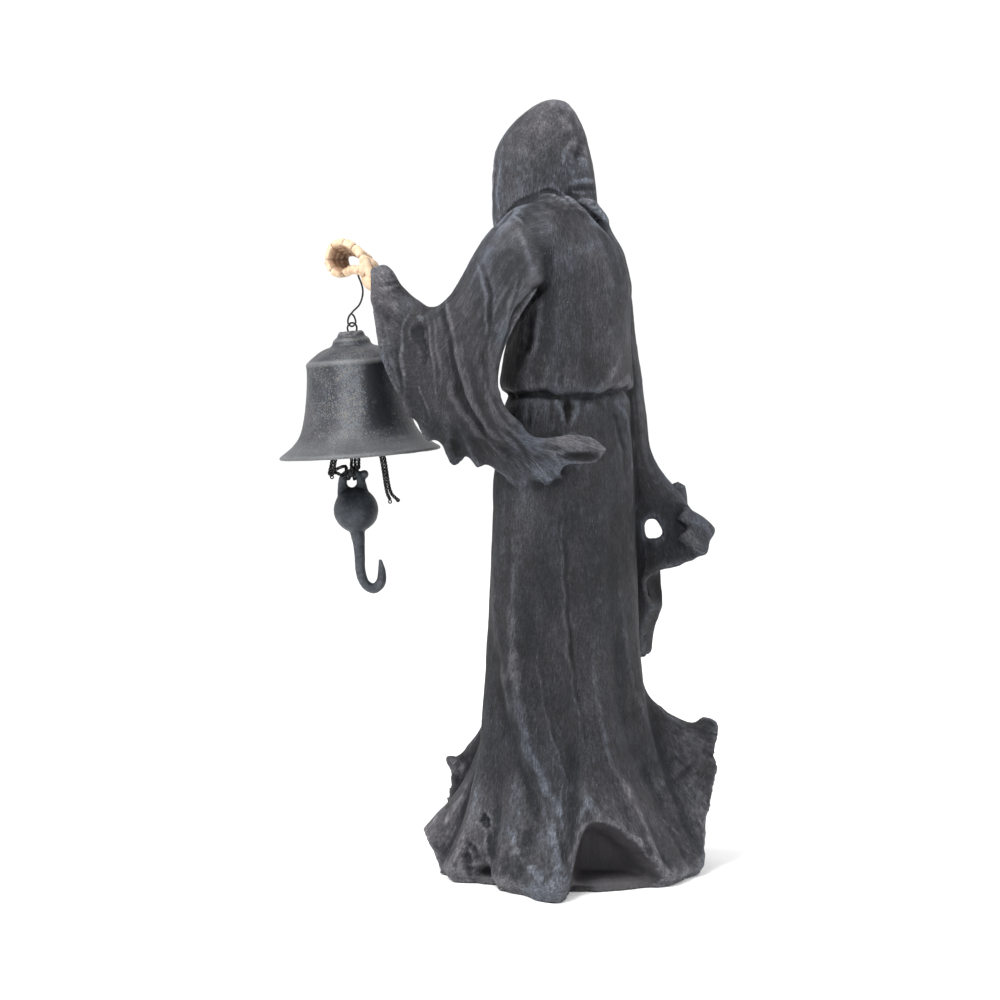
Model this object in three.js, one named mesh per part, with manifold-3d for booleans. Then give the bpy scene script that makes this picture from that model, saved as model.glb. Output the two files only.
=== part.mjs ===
// Hooded skeleton figure in a long robe, holding a bell on a wire hook from its raised left hand.
// Millimetres, +Z up. The figure faces -Y, its left hand is at +X, and the origin is the middle of its underside.
import * as THREE from 'three';
import { mergeVertices } from 'three/addons/utils/BufferGeometryUtils.js';
import Module from 'manifold-3d';

const wasm = await Module();
wasm.setup();

// Driving dimensions
const figureHeight = 400;
const beltHeight = 248;
const hemReach = 70;
const groundHeight = 6.5;
const clothThickness = 3.4;
const clearance = 0.35;

// The bell and what hangs from it lean towards this direction in plan, in degrees from +X
const hangBearing = 130;
const bellAxis = new THREE.Vector3(50.6, -107, 0);
const bellLean = 4.2;
const bellHeight = 65;
const bellLipHeight = 215.5;
const bellLipRadius = 42.8;

const robeSteps = 54;
const hoodSteps = 20;
const sleeveSteps = 18;
const degrees = Math.PI / 180;

const robeColour = { color: 0x444448, roughness: 0.8, metalness: 0.0 };
const boneColour = { color: 0xebd2b4, roughness: 0.6, metalness: 0.0 };
const ironColour = { color: 0x33383f, roughness: 0.55, metalness: 0.4 };
const wireColour = { color: 0x1a1a1c, roughness: 0.45, metalness: 0.7 };

// Small helpers for curves and closed surfaces
function vector(x, y, z) {
  return new THREE.Vector3(x, y, z);
}

function smoothStep(low, high, value) {
  return THREE.MathUtils.smoothstep(value, low, high);
}

// Value at a height in a list of stations, read in straight lines between them
function stationAt(stations, key, height) {
  let index = 0;
  while (index < stations.length - 2 && height > stations[index + 1].height) {
    index += 1;
  }
  const below = stations[index];
  const above = stations[index + 1];
  const share = THREE.MathUtils.clamp((height - below.height) / (above.height - below.height), 0, 1);
  return THREE.MathUtils.lerp(below[key], above[key], share);
}

// Faces that close a ring of points round its middle, or straight across it where the ring is long and bowed
function closingFaces(first, count, middle, across) {
  if (!across) {
    return Array.from({ length: count }, (_, step) => [middle, first + step, first + ((step + 1) % count)]);
  }
  const faces = [];
  for (let step = 0; step < count / 2; step += 1) {
    const opposite = count - step;
    faces.push([step, step + 1, opposite - 1]);
    if (step > 0) {
      faces.push([step, opposite - 1, opposite]);
    }
  }
  return faces
    .filter(([a, b, c]) => a !== b && b !== c && a !== c)
    .map((face) => face.map((corner) => first + corner));
}

// Closed surface through rings of points with equal counts
function loft(rings, acrossEnd = false) {
  const count = rings[0].length;
  const positions = [];
  const indices = [];
  rings.forEach((ring) => ring.forEach((point) => positions.push(point.x, point.y, point.z)));
  for (let row = 0; row < rings.length - 1; row += 1) {
    for (let step = 0; step < count; step += 1) {
      const a = row * count + step;
      const b = row * count + ((step + 1) % count);
      indices.push(a, b, b + count, a, b + count, a + count);
    }
  }
  [0, rings.length - 1].forEach((row) => {
    const across = acrossEnd && row > 0;
    const middle = positions.length / 3;
    if (!across) {
      const centre = rings[row].reduce((sum, point) => sum.add(point), vector(0, 0, 0)).divideScalar(count);
      positions.push(centre.x, centre.y, centre.z);
    }
    closingFaces(row * count, count, middle, across).forEach(([a, b, c]) => {
      indices.push(...(row === 0 ? [a, c, b] : [a, b, c]));
    });
  });
  const geometry = new THREE.BufferGeometry();
  geometry.setAttribute('position', new THREE.Float32BufferAttribute(positions, 3));
  geometry.setIndex(indices);
  return geometry;
}

// Round bar along a smooth curve, thick as the radii say from its start to its end
function bar(points, radii, rows, sides) {
  const curve = new THREE.CatmullRomCurve3(points, false, 'centripetal');
  const frames = curve.computeFrenetFrames(rows, false);
  const rings = [];
  for (let row = 0; row <= rows; row += 1) {
    const place = (row / rows) * (radii.length - 1);
    const first = Math.min(Math.floor(place), radii.length - 2);
    const radius = THREE.MathUtils.lerp(radii[first], radii[first + 1], place - first);
    const centre = curve.getPoint(row / rows);
    const ring = [];
    for (let step = 0; step < sides; step += 1) {
      const angle = (step / sides) * 2 * Math.PI;
      const point = centre.clone();
      point.addScaledVector(frames.normals[row], Math.cos(angle) * radius);
      point.addScaledVector(frames.binormals[row], Math.sin(angle) * radius);
      ring.push(point);
    }
    rings.push(ring);
  }
  return loft(rings);
}

function ball(centre, radii, across, down) {
  const geometry = new THREE.SphereGeometry(1, across, down);
  geometry.scale(radii[0], radii[1], radii[2]);
  geometry.translate(centre.x, centre.y, centre.z);
  return geometry;
}

// Solid from a closed surface; a surface that was made inside out is turned
function solid(source) {
  let geometry = source.clone();
  geometry.deleteAttribute('normal');
  geometry.deleteAttribute('uv');
  geometry = mergeVertices(geometry, 1e-4);
  const points = geometry.getAttribute('position').array;
  const corners = geometry.getIndex().array;
  const kept = [];
  let volume = 0;
  for (let face = 0; face < corners.length; face += 3) {
    const [a, b, c] = [corners[face], corners[face + 1], corners[face + 2]];
    if (a !== b && b !== c && a !== c) {
      kept.push(a, b, c);
      const [p, q, r] = [a, b, c].map((corner) => new THREE.Vector3().fromArray(points, corner * 3));
      volume += p.dot(q.cross(r));
    }
  }
  if (volume < 0) {
    kept.reverse();
  }
  const mesh = new wasm.Mesh({
    numProp: 3,
    vertProperties: new Float32Array(points),
    triVerts: new Uint32Array(kept),
  });
  return new wasm.Manifold(mesh);
}

function joined(geometries) {
  return geometries.map(solid).reduce((whole, next) => whole.add(next));
}

function piece(name, shape, finish) {
  const mesh = shape.getMesh();
  const geometry = new THREE.BufferGeometry();
  geometry.setAttribute('position', new THREE.Float32BufferAttribute(mesh.vertProperties, 3));
  geometry.setIndex(new THREE.Uint32BufferAttribute(mesh.triVerts, 1));
  geometry.computeVertexNormals();
  const made = new THREE.Mesh(geometry, new THREE.MeshStandardMaterial(finish));
  made.name = name;
  return made;
}

// Robe hem: bearings in degrees from +X, counted anticlockwise seen from above.
// Each lift is a place where the cloth curls off the ground, with its spread before and after its bearing.
const hemLifts = [
  { bearing: -67, before: 9, after: 8, height: 57, reach: -3 },
  { bearing: -50, before: 8, after: 13, height: 23, reach: 8 },
  { bearing: 54, before: 15, after: 27, height: 39, reach: -3 },
  { bearing: 143, before: 18, after: 13, height: 72, reach: 10 },
  { bearing: -165, before: 16, after: 14, height: 24, reach: 3 },
  { bearing: -112, before: 14, after: 15, height: 18, reach: 2 },
];

// Long folds that run down the skirt, from their bearing at the belt to their bearing at the hem
const skirtFolds = [
  { top: -8, hem: 36, height: 4.2, width: 11 },
  { top: 14, hem: 20, height: -2.0, width: 8 },
  { top: 58, hem: 80, height: 4.6, width: 13 },
  { top: 88, hem: 104, height: -2.2, width: 11 },
  { top: 112, hem: 122, height: 3.4, width: 10 },
  { top: -34, hem: -20, height: 3.0, width: 9 },
  { top: -52, hem: -42, height: -3.0, width: 8 },
  { top: -80, hem: -76, height: 3.4, width: 10 },
  { top: -104, hem: -100, height: -3.4, width: 9 },
  { top: -128, hem: -132, height: 3.6, width: 11 },
  { top: -150, hem: -152, height: -3.0, width: 9 },
  { top: 176, hem: 172, height: 3.4, width: 12 },
];

// Ellipse stations of the skirt and the torso: half width along X, half depth along Y, middle in Y
const skirtStations = [
  { height: 0, width: 48, depth: 43, middle: 0 },
  { height: 60, width: 46, depth: 41, middle: -2 },
  { height: 125, width: 42.5, depth: 36.5, middle: -3.5 },
  { height: 170, width: 40.5, depth: 35, middle: -3.5 },
  { height: 210, width: 39.5, depth: 33.5, middle: -3.5 },
  { height: 236, width: 36, depth: 29, middle: -2 },
  { height: beltHeight, width: 33.5, depth: 26, middle: -1 },
];
const torsoStations = [
  { height: beltHeight, width: 33.5, depth: 26, middle: -1, side: 0 },
  { height: 250.2, width: 35, depth: 27.4, middle: -0.5, side: 0 },
  { height: 252.4, width: 33.4, depth: 26, middle: 0, side: 0 },
  { height: 255.5, width: 37, depth: 29.5, middle: 0.5, side: 0 },
  { height: 268, width: 37, depth: 29.8, middle: 1.5, side: 0 },
  { height: 300, width: 35, depth: 27.5, middle: 2.5, side: 0 },
  { height: 318, width: 32, depth: 24.5, middle: 2.5, side: 1 },
  { height: 333, width: 26, depth: 19, middle: 1, side: 3 },
  { height: 344, width: 20, depth: 14, middle: -1, side: 5 },
  { height: 351, width: 12, depth: 9, middle: -3, side: 6 },
];
const hoodStations = [
  { height: 312, width: 17, depth: 19, middle: -5 },
  { height: 324, width: 21, depth: 25, middle: -11 },
  { height: 336, width: 23, depth: 28.5, middle: -15 },
  { height: 350, width: 23.6, depth: 29, middle: -16.5 },
  { height: 362, width: 23, depth: 28, middle: -17 },
  { height: 372, width: 21.4, depth: 25.6, middle: -16.5 },
  { height: 381, width: 18.4, depth: 22, middle: -15 },
  { height: 389, width: 14, depth: 17, middle: -12.5 },
  { height: 395, width: 9, depth: 11.5, middle: -10 },
  { height: 398.6, width: 4.5, depth: 6, middle: -8 },
  { height: figureHeight, width: 1.2, depth: 1.6, middle: -7.5 },
];

function bearingGap(bearing, other) {
  return ((((bearing - other) % 360) + 540) % 360) - 180;
}

function liftShare(lift, bearing) {
  const gap = bearingGap(bearing, lift.bearing);
  const spread = gap < 0 ? lift.before : lift.after;
  return Math.exp(-(Math.abs(gap / spread) ** 2.6));
}

// Where the free edge of the cloth is at a bearing: its height and its distance from the middle
function hemHeight(bearing) {
  return Math.max(...hemLifts.map((lift) => lift.height * liftShare(lift, bearing)));
}

function hemDistance(bearing) {
  const lifted = hemLifts.reduce((sum, lift) => sum + lift.reach * liftShare(lift, bearing), 0);
  const waves = 1.6 * Math.cos(3 * bearing * degrees - 1.2) + 1.1 * Math.cos(8 * bearing * degrees + 0.4);
  return hemReach + lifted + waves;
}

function ellipseRadius(stations, height, bearing) {
  const width = stationAt(stations, 'width', height);
  const depth = stationAt(stations, 'depth', height);
  const angle = bearing * degrees;
  return 1 / Math.hypot(Math.cos(angle) / width, Math.sin(angle) / depth);
}

function foldRelief(bearing, drop) {
  return skirtFolds.reduce((sum, fold) => {
    const ridge = THREE.MathUtils.lerp(fold.top, fold.hem, drop ** 2);
    const gap = bearingGap(bearing, ridge) / fold.width;
    return sum + fold.height * (0.22 + 0.78 * drop) * Math.exp(-gap * gap);
  }, 0);
}

function polarPoint(bearing, radius, middle, height) {
  const angle = bearing * degrees;
  return vector(Math.cos(angle) * radius, middle + Math.sin(angle) * radius, height);
}

// One point of the skirt: drop runs from 0 at the belt to 1 at the free edge
function skirtPoint(bearing, drop) {
  const edge = Math.max(hemHeight(bearing), groundHeight + 1);
  const height = THREE.MathUtils.lerp(beltHeight, edge, drop);
  const plain = ellipseRadius(skirtStations, height, bearing);
  const flareTop = edge + THREE.MathUtils.lerp(134, 62, Math.min(edge / 72, 1));
  const flareShare = THREE.MathUtils.clamp((flareTop - height) / (flareTop - edge), 0, 1);
  const power = THREE.MathUtils.lerp(3.0, 7.5, Math.min(edge / 72, 1));
  const spread = hemDistance(bearing) - ellipseRadius(skirtStations, edge, bearing);
  const radius = plain + spread * flareShare ** power + foldRelief(bearing, drop) * (1 - 0.7 * flareShare ** 6);
  const middle = stationAt(skirtStations, 'middle', height) * (1 - flareShare ** power);
  return polarPoint(bearing, radius, middle, height);
}

// Underside of the skirt, from the cloth's edge in over the hollow and out again over the ground
function undersideProfile(bearing) {
  const edge = Math.max(hemHeight(bearing), groundHeight + 1);
  const lifted = smoothStep(groundHeight + 1.5, groundHeight + 12, edge);
  const reach = hemDistance(bearing);
  const inner = reach - THREE.MathUtils.lerp(22, 28, Math.min(edge / 72, 1));
  const flush = [[reach + 0.4, 0], [reach + 0.4, 2], [reach + 0.3, 4], [reach + 0.2, 5.4], [reach + 0.1, 6.6]];
  const hollow = [
    [hemReach - 0.5, 0],
    [hemReach - 1.5, groundHeight - 0.8],
    [inner, groundHeight],
    [inner + 2, Math.max(edge * 0.7, groundHeight + 0.3)],
    [reach - clothThickness * 0.5, edge - clothThickness * 0.6],
  ];
  return flush.map(([radius, height], row) => [
    THREE.MathUtils.lerp(radius, hollow[row][0], lifted),
    THREE.MathUtils.lerp(height, hollow[row][1], lifted),
  ]);
}

function robeBody() {
  const bearings = Array.from({ length: robeSteps }, (_, step) => (step / robeSteps) * 360 - 180);
  const rings = [0, 1, 2, 3, 4].map((row) =>
    bearings.map((bearing) => {
      const [radius, height] = undersideProfile(bearing)[row];
      return polarPoint(bearing, radius, 0, height);
    }),
  );
  const skirtRows = 10;
  for (let row = skirtRows; row > 0; row -= 1) {
    const drop = 1 - (1 - row / skirtRows) ** 1.5;
    rings.push(bearings.map((bearing) => skirtPoint(bearing, drop)));
  }
  torsoStations.forEach((station) => {
    rings.push(
      bearings.map((bearing) => {
        const creases = 0.5 * Math.cos(9 * bearing * degrees + 0.5) * (1 - smoothStep(262, 340, station.height));
        const radius = ellipseRadius(torsoStations, station.height, bearing) + creases;
        return polarPoint(bearing, radius, station.middle, station.height).add(vector(station.side, 0, 0));
      }),
    );
  });
  return loft(rings);
}

function hood() {
  const rings = hoodStations.map((station) =>
    Array.from({ length: hoodSteps }, (_, step) => {
      const bearing = (step / hoodSteps) * 360 - 180;
      const radius = ellipseRadius(hoodStations, station.height, bearing);
      return polarPoint(bearing, radius, station.middle, station.height);
    }),
  );
  return loft(rings);
}

// Hollow of the hood, open to the front; each section stands upright across the figure
function hoodHollow() {
  const sections = [
    { place: -62, width: 17.6, rise: 27, middle: 356 },
    { place: -34, width: 17.6, rise: 26, middle: 355 },
    { place: -14, width: 16.4, rise: 23, middle: 355 },
    { place: -3, width: 11, rise: 16, middle: 357 },
    { place: 3, width: 3, rise: 5, middle: 358 },
  ];
  return loft(
    sections.map((section) =>
      Array.from({ length: 16 }, (_, step) => {
        const angle = (step / 16) * 2 * Math.PI;
        const across = Math.cos(angle) * section.width;
        return vector(across, section.place, section.middle + Math.sin(angle) * section.rise);
      }),
    ),
  );
}

// Thick roll of cloth that lies round the back of the neck below the hood
function collar() {
  const points = [
    vector(25, -26, 326),
    vector(28, -10, 340),
    vector(21, 6, 345),
    vector(5, 15, 342),
    vector(-12, 15, 336),
    vector(-23, 3, 332),
    vector(-24, -20, 325),
  ];
  return bar(points, [3.5, 6, 6.2, 6, 6, 5.5, 3.5], 11, 7);
}

// Each sleeve is a wide bell of cloth. From the shoulder to the mouth its sections run from the arm, on top,
// to the trailing back edge, and they sag more and more between the two.
const leftSleeve = {
  arm: [
    vector(20, 3, 347), vector(35, -5, 345), vector(44.5, -14, 332), vector(49.5, -25, 313),
    vector(50.2, -42, 298), vector(50.6, -56, 293), vector(53, -70, 304), vector(54, -84, 314.5),
  ],
  back: [
    vector(22, 9, 305), vector(36, 9, 296), vector(46, 5, 280), vector(51, 0, 264),
    vector(50, -1, 248), vector(44, 7, 235), vector(35, 22, 229), vector(20.5, 43, 222),
  ],
  hem: [
    vector(54, -84, 314.5), vector(57.5, -86, 292), vector(62.5, -75, 264), vector(59.5, -53, 233),
    vector(49, -32, 216), vector(40, -16, 210), vector(31.5, 8, 206), vector(26, 28, 213),
    vector(20.5, 43, 222),
  ],
  outward: [vector(0.9, 0.4, 0), vector(0.77, 0.64, 0)],
  thickness: [14, 15, 8],
  tongues: [
    { at: 0.36, width: 0.03, drop: 5 },
    { at: 0.46, width: 0.03, drop: 9 },
    { at: 0.68, width: 0.05, drop: 4 },
  ],
  limb: [
    vector(24, 1, 332), vector(38, -9, 322), vector(47, -30, 298), vector(50, -54, 283.5),
    vector(53, -70, 293.5), vector(54.5, -87.5, 305.5),
  ],
  limbRadii: [15, 15, 13, 10, 10, 10],
};
const rightSleeve = {
  arm: [
    vector(-18, -2, 338), vector(-29, -5, 330), vector(-37, -4, 312), vector(-40, 0, 286),
    vector(-43, -2, 260), vector(-46, -18, 247), vector(-49, -38, 240),
  ],
  back: [
    vector(-20, 6, 306), vector(-30, 8, 292), vector(-36, 12, 268), vector(-40, 16, 243),
    vector(-44, 23, 215), vector(-52, 35, 193), vector(-59, 48, 174),
  ],
  hem: [
    vector(-49, -38, 240), vector(-51, -36, 212), vector(-51, -27, 174), vector(-50, -10, 140),
    vector(-50, 10, 117), vector(-51, 19, 130), vector(-51, 24, 151), vector(-54, 36, 161),
    vector(-59, 48, 174),
  ],
  outward: [vector(-0.95, 0.2, 0), vector(-0.85, -0.4, 0)],
  thickness: [11, 13, 9],
  tongues: [
    { at: 0.3, width: 0.05, drop: 6 },
    { at: 0.52, width: 0.07, drop: 9 },
    { at: 0.84, width: 0.04, drop: 3 },
  ],
  limb: [
    vector(-20, -4, 325), vector(-32, -4, 310), vector(-38, -2, 284), vector(-42, -4, 258),
    vector(-46, -20, 242), vector(-49.5, -41, 232),
  ],
  limbRadii: [13, 13, 12, 10.5, 9.5, 9],
};

// Section of a sleeve at a share of its length; past the mouth it moves on forwards and down
function sleeveRing(sleeve, share, inset, lowered, past) {
  const armCurve = new THREE.CatmullRomCurve3(sleeve.arm);
  const backCurve = new THREE.CatmullRomCurve3(sleeve.back);
  const hemCurve = new THREE.CatmullRomCurve3(sleeve.hem);
  const [cuff, tip] = [sleeve.arm[sleeve.arm.length - 1], sleeve.back[sleeve.back.length - 1]];
  const top = armCurve.getPoint(share).add(vector(0, 0, -lowered));
  const back = backCurve.getPoint(share).add(vector(0, -inset * 1.6, 0));
  const [first, middle, last] = sleeve.thickness;
  const thickness = share < 0.5
    ? THREE.MathUtils.lerp(first, middle, share * 2)
    : THREE.MathUtils.lerp(middle, last, share * 2 - 1);
  return Array.from({ length: sleeveSteps }, (_, step) => {
    const turn = (step / sleeveSteps) * 2 * Math.PI;
    const along = (1 - Math.cos(turn)) / 2;
    const sag = hemCurve.getPoint(along).sub(cuff.clone().lerp(tip, along));
    const point = top.clone().lerp(back, along).addScaledVector(sag, share ** 2.2);
    const outward = sleeve.outward[0].clone().lerp(sleeve.outward[1], along).normalize();
    point.addScaledVector(outward, Math.sin(turn) * (thickness - inset));
    const tongue = sleeve.tongues.reduce(
      (sum, each) => sum + each.drop * Math.exp(-(((along - each.at) / each.width) ** 2)), 0);
    point.z -= tongue * share ** 8;
    point.add(vector(0, -12 * (1 - along) ** 2, -5 - 8 * along).multiplyScalar(past));
    return point;
  });
}

function sleeve(sizes) {
  const rows = 9;
  const outer = Array.from({ length: rows + 1 }, (_, row) => sleeveRing(sizes, row / rows, 0, 0, 0));
  const hollowShares = [0.55, 0.7, 0.84, 0.94, 1];
  const hollow = hollowShares.map((share) => sleeveRing(sizes, share, clothThickness, 17, 0));
  const mouth = sleeveRing(sizes, 1, clothThickness, 17, 1);
  const limb = bar(sizes.limb, sizes.limbRadii, 8, 10);
  return joined([loft(outer, true), limb]).subtract(solid(loft([...hollow, mouth], true)));
}

// Small fold of the right sleeve's mouth that turns up behind its trailing tip
function turnedFold() {
  return bar([vector(-50, 29, 185), vector(-57, 26, 191), vector(-63, 23, 198.5)], [9, 7, 4.5], 3, 6);
}

const leftWrist = [vector(54.2, -79, 303.5), vector(54.4, -88, 306.5), vector(54, -93, 308.5)];
const rightWrist = [vector(-49, -33, 235), vector(-50, -42, 231.5), vector(-50.5, -48, 229.5)];

function robe() {
  const leftSocket = solid(bar(leftWrist, [5.6, 5.6, 5.6], 2, 10));
  const rightSocket = solid(bar(rightWrist, [5.6, 5.6, 5.6], 2, 10));
  return solid(robeBody())
    .add(solid(hood()))
    .add(solid(collar()))
    .add(sleeve(leftSleeve))
    .add(sleeve(rightSleeve))
    .add(solid(turnedFold()))
    .subtract(solid(hoodHollow()))
    .subtract(leftSocket)
    .subtract(rightSocket)
    .subtract(solid(neck(clearance + 0.2)));
}

function neck(extra) {
  const radius = 4.6 + extra;
  return bar([vector(0, -14, 326), vector(0, -15, 340), vector(0, -18, 354)], [radius, radius, radius], 2, 8);
}

// Skull inside the hood, with its neck standing in the robe
function skull() {
  const cranium = ball(vector(0, -19, 363), [13.2, 16.5, 15], 10, 7);
  const face = ball(vector(0, -27, 351), [10, 9.5, 12], 8, 6);
  const jaw = ball(vector(0, -28, 342.5), [8, 8, 6], 8, 5);
  const sockets = [-1, 1].map((side) => solid(ball(vector(side * 5, -36.5, 355.5), [3.4, 4.5, 3.4], 7, 5)));
  const nose = solid(ball(vector(0, -38, 349.5), [1.6, 3.5, 2.6], 6, 4));
  return joined([cranium, face, jaw, neck(0)]).subtract(sockets[0]).subtract(sockets[1]).subtract(nose);
}

// Finger bones are bars that swell at each joint
function fingerBones(points, thickness) {
  const rows = points.length * 2 - 2;
  const radii = Array.from({ length: rows + 1 }, (_, row) => (row % 2 === 0 ? thickness : thickness * 0.78));
  return bar(points, radii, rows, 5);
}

const fingerPitch = 4.5;

// Left hand: palm down, four fingers curled into a loop that the hook hangs in, and the thumb along them
function leftHand() {
  const bones = [0, 1, 2, 3].map((index) => {
    const across = 58.6 - index * fingerPitch;
    const shorter = [0.6, 0, 0.4, 1.6][index];
    return fingerBones(
      [
        vector(54 - (index - 1.5) * 2, -92, 311.5),
        vector(across - 0.4, -97, 320 - shorter),
        vector(across, -105 + shorter, 325.4 - shorter),
        vector(across, -113.5 + shorter, 322 - shorter),
        vector(across, -116 + shorter, 314.5),
        vector(across, -112.6 + shorter, 309.8),
        vector(across, -108.2, 310),
      ],
      2.25,
    );
  });
  const thumb = fingerBones(
    [vector(51, -91.5, 307), vector(47, -96, 306), vector(44.5, -100, 307), vector(43, -105, 310.5)], 2.1);
  const wrist = bar(leftWrist.map((point) => point.clone()), [5.2, 5.2, 4.6], 2, 10);
  const palm = ball(vector(53.2, -94.5, 312), [8, 5.6, 5.2], 8, 5);
  return joined([...bones, thumb, wrist, palm]);
}

// Right hand: half open, hanging forward out of its sleeve
function rightHand() {
  const bones = [0, 1, 2, 3].map((index) => {
    const across = -57.5 + index * fingerPitch;
    return fingerBones(
      [
        vector(-51 + (index - 1.5) * 1.8, -48, 229),
        vector(across, -57, 224),
        vector(across, -66, 216),
        vector(across, -70, 206.5),
        vector(across, -68, 199),
      ],
      2.2,
    );
  });
  const thumb = fingerBones(
    [vector(-48, -48, 228), vector(-42.5, -52, 221), vector(-41.5, -57, 213)], 2.1);
  const wrist = bar(rightWrist.map((point) => point.clone()), [5.2, 5.2, 4.6], 2, 10);
  const palm = ball(vector(-51, -52, 227), [8, 6, 4.6], 8, 5);
  return joined([...bones, thumb, wrist, palm]);
}

// Places below the hand are given beside the bell's axis, in the upright plane that the bell leans in
function hanging(sideways, height, nearer = 0) {
  const angle = hangBearing * degrees;
  const right = vector(Math.cos(angle), Math.sin(angle), 0);
  const near = vector(Math.sin(angle), -Math.cos(angle), 0);
  return bellAxis.clone().addScaledVector(right, sideways).addScaledVector(near, nearer)
    .add(vector(0, 0, height));
}

const hookWire = 0.5;

// Bent wire hook from the curled fingers to the bell's ring
function fingerHook() {
  const points = [
    hanging(-1.1, 313.6, -4.9),
    hanging(1.2, 314.4, -3),
    hanging(3.4, 313.2, -1.3),
    hanging(3.9, 309.4, -0.9),
    hanging(5.6, 305, -0.4),
    hanging(6.3, 300.5),
    hanging(4.6, 294.5),
    hanging(1, 290.6),
    hanging(-1.2, 287.6),
    hanging(-1.5, 284.4),
    hanging(0.5, 282.8),
    hanging(2.4, 284.6),
    hanging(1.8, 287.8, 0.8),
    hanging(0.8, 289.2, 1.6),
  ];
  return solid(bar(points, points.map(() => hookWire), 26, 5));
}

// Ring of round wire that stands upright, its plane along a bearing
function uprightRing(radius, wire, place, bearing, around, sides) {
  const geometry = new THREE.TorusGeometry(radius, wire, sides, around);
  geometry.rotateX(Math.PI / 2);
  geometry.rotateZ(bearing * degrees);
  geometry.translate(place.x, place.y, place.z);
  return geometry;
}

// Ring through the crown of the bell; a wider one of the same shape cuts its way through the metal
function bellRing(extra) {
  return uprightRing(2.9, hookWire + extra, hanging(0.6, 281.8), hangBearing + 35, 12, 5);
}

// Bell turned on its axis, from the middle of its crown down the outside and back up the inside
function bell() {
  const outside = [
    [0, bellHeight], [6.4, bellHeight], [7.2, 61.6], [9.6, 60.6], [10.2, 58], [15, 56.6], [20.5, 53.2],
    [24.7, 49.4], [24.7, 47], [25.4, 39], [27, 26], [30.4, 13], [36, 5.6], [bellLipRadius - 0.4, 1.4],
    [bellLipRadius, 0],
  ];
  const inside = [
    [bellLipRadius - 1.8, -0.4], [33.5, 3.4], [27.6, 12.5], [24, 28], [21.8, 47.5], [16, 52.4], [0, 54.6],
  ];
  const profile = [...outside, ...inside].map(([radius, height]) => new THREE.Vector2(radius, height));
  const turned = new THREE.LatheGeometry(profile, 26);
  turned.rotateX(Math.PI / 2);
  return [turned, uprightRing(3.4, 0.9, vector(0, 0, 53.6), hangBearing, 12, 5)];
}

const leanAxis = vector(Math.sin(hangBearing * degrees), -Math.cos(hangBearing * degrees), 0);

function leaned(geometry) {
  const lip = hanging(4.6, bellLipHeight);
  const placed = geometry.clone();
  placed.applyMatrix4(new THREE.Matrix4().makeRotationAxis(leanAxis, bellLean * degrees));
  placed.translate(lip.x, lip.y, lip.z);
  return placed;
}

const eyeHeight = 201.2;
const eyeRadius = 5.2;
const eyeWire = 2.3;

// Clapper: an eye, a ball, and a shank that ends in an open hook, cast as one
function clapper() {
  const ballPlace = hanging(2.6, 186.5);
  const eye = uprightRing(eyeRadius, eyeWire, hanging(-0.6, eyeHeight), hangBearing, 12, 6);
  const knob = ball(hanging(6.6, 204.6), [2.5, 2.5, 2.5], 6, 4);
  const sphere = ball(ballPlace, [11.9, 11.9, 11.9], 12, 8);
  const shankPoints = [
    hanging(2.8, 178), hanging(4, 170), hanging(4.4, 161), hanging(4.6, 153), hanging(7.4, 146),
    hanging(12, 144), hanging(15.6, 148), hanging(15.8, 154), hanging(14.6, 159.5),
  ];
  const shank = bar(shankPoints, [4, 3.4, 2.5, 2.5, 2.6, 2.7, 2.6, 2.1, 1.4], 12, 6);
  return joined([eye, knob, sphere, shank]);
}

// Fine chain: each link is a small upright plate with cut corners, turned a quarter from the last
const linkPitch = 5.6;
const linkWidth = 3.6;
const linkWire = 0.75;

function strand(points) {
  const curve = new THREE.CatmullRomCurve3(points);
  const count = Math.max(2, Math.round(curve.getLength() / linkPitch));
  return Array.from({ length: count }, (_, index) => {
    const link = new THREE.SphereGeometry(1, 4, 2);
    link.rotateX(Math.PI / 2);
    link.rotateZ(Math.PI / 4);
    link.scale(linkWidth * 0.72, linkWire * 1.5, linkPitch * 0.72);
    link.rotateZ(0.35 + (index % 2) * (Math.PI / 2));
    const share = (index + 0.5) / count;
    const turn = new THREE.Quaternion().setFromUnitVectors(vector(0, 0, -1), curve.getTangentAt(share));
    link.applyQuaternion(turn);
    const place = curve.getPointAt(share);
    link.translate(place.x, place.y, place.z);
    return link;
  });
}

// Three strands hang from one link in the bell's staple; the middle one is wrapped round the clapper's eye
function chains() {
  const topPlace = hanging(1, 264.6);
  const topLink = uprightRing(2.6, linkWire, topPlace, hangBearing + 90, 10, 4);
  const wrap = uprightRing(eyeWire + 2, 1.2, hanging(-0.6, eyeHeight + eyeRadius), hangBearing + 90, 9, 5);
  return joined([
    topLink,
    wrap,
    ...strand([hanging(1, 263), hanging(-0.6, 212.5)]),
    ...strand([hanging(0.4, 263), hanging(-8, 248, 2), hanging(-11.5, 215, 2), hanging(-12.4, 199.5, 2)]),
    ...strand([hanging(1.6, 263), hanging(10, 240, 2), hanging(16, 212, 2), hanging(20.6, 190.5, 2)]),
  ]);
}

const model = new THREE.Group();
model.add(piece('robed_figure', robe(), robeColour));
model.add(piece('skull', skull(), boneColour));
model.add(piece('left_hand', leftHand(), boneColour));
model.add(piece('right_hand', rightHand(), boneColour));
model.add(piece('finger_hook', fingerHook(), wireColour));
model.add(piece('bell_ring', solid(bellRing(0)), wireColour));
model.add(piece('bell', joined(bell().map(leaned)).subtract(solid(bellRing(clearance))), ironColour));
model.add(piece('clapper', clapper(), ironColour));
model.add(piece('chains', chains(), wireColour));

export default model;
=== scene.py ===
import math
import bmesh
import bpy
import numpy as np
from mathutils import Matrix, Vector, noise
from mathutils.kdtree import KDTree
from mathutils.bvhtree import BVHTree


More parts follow.
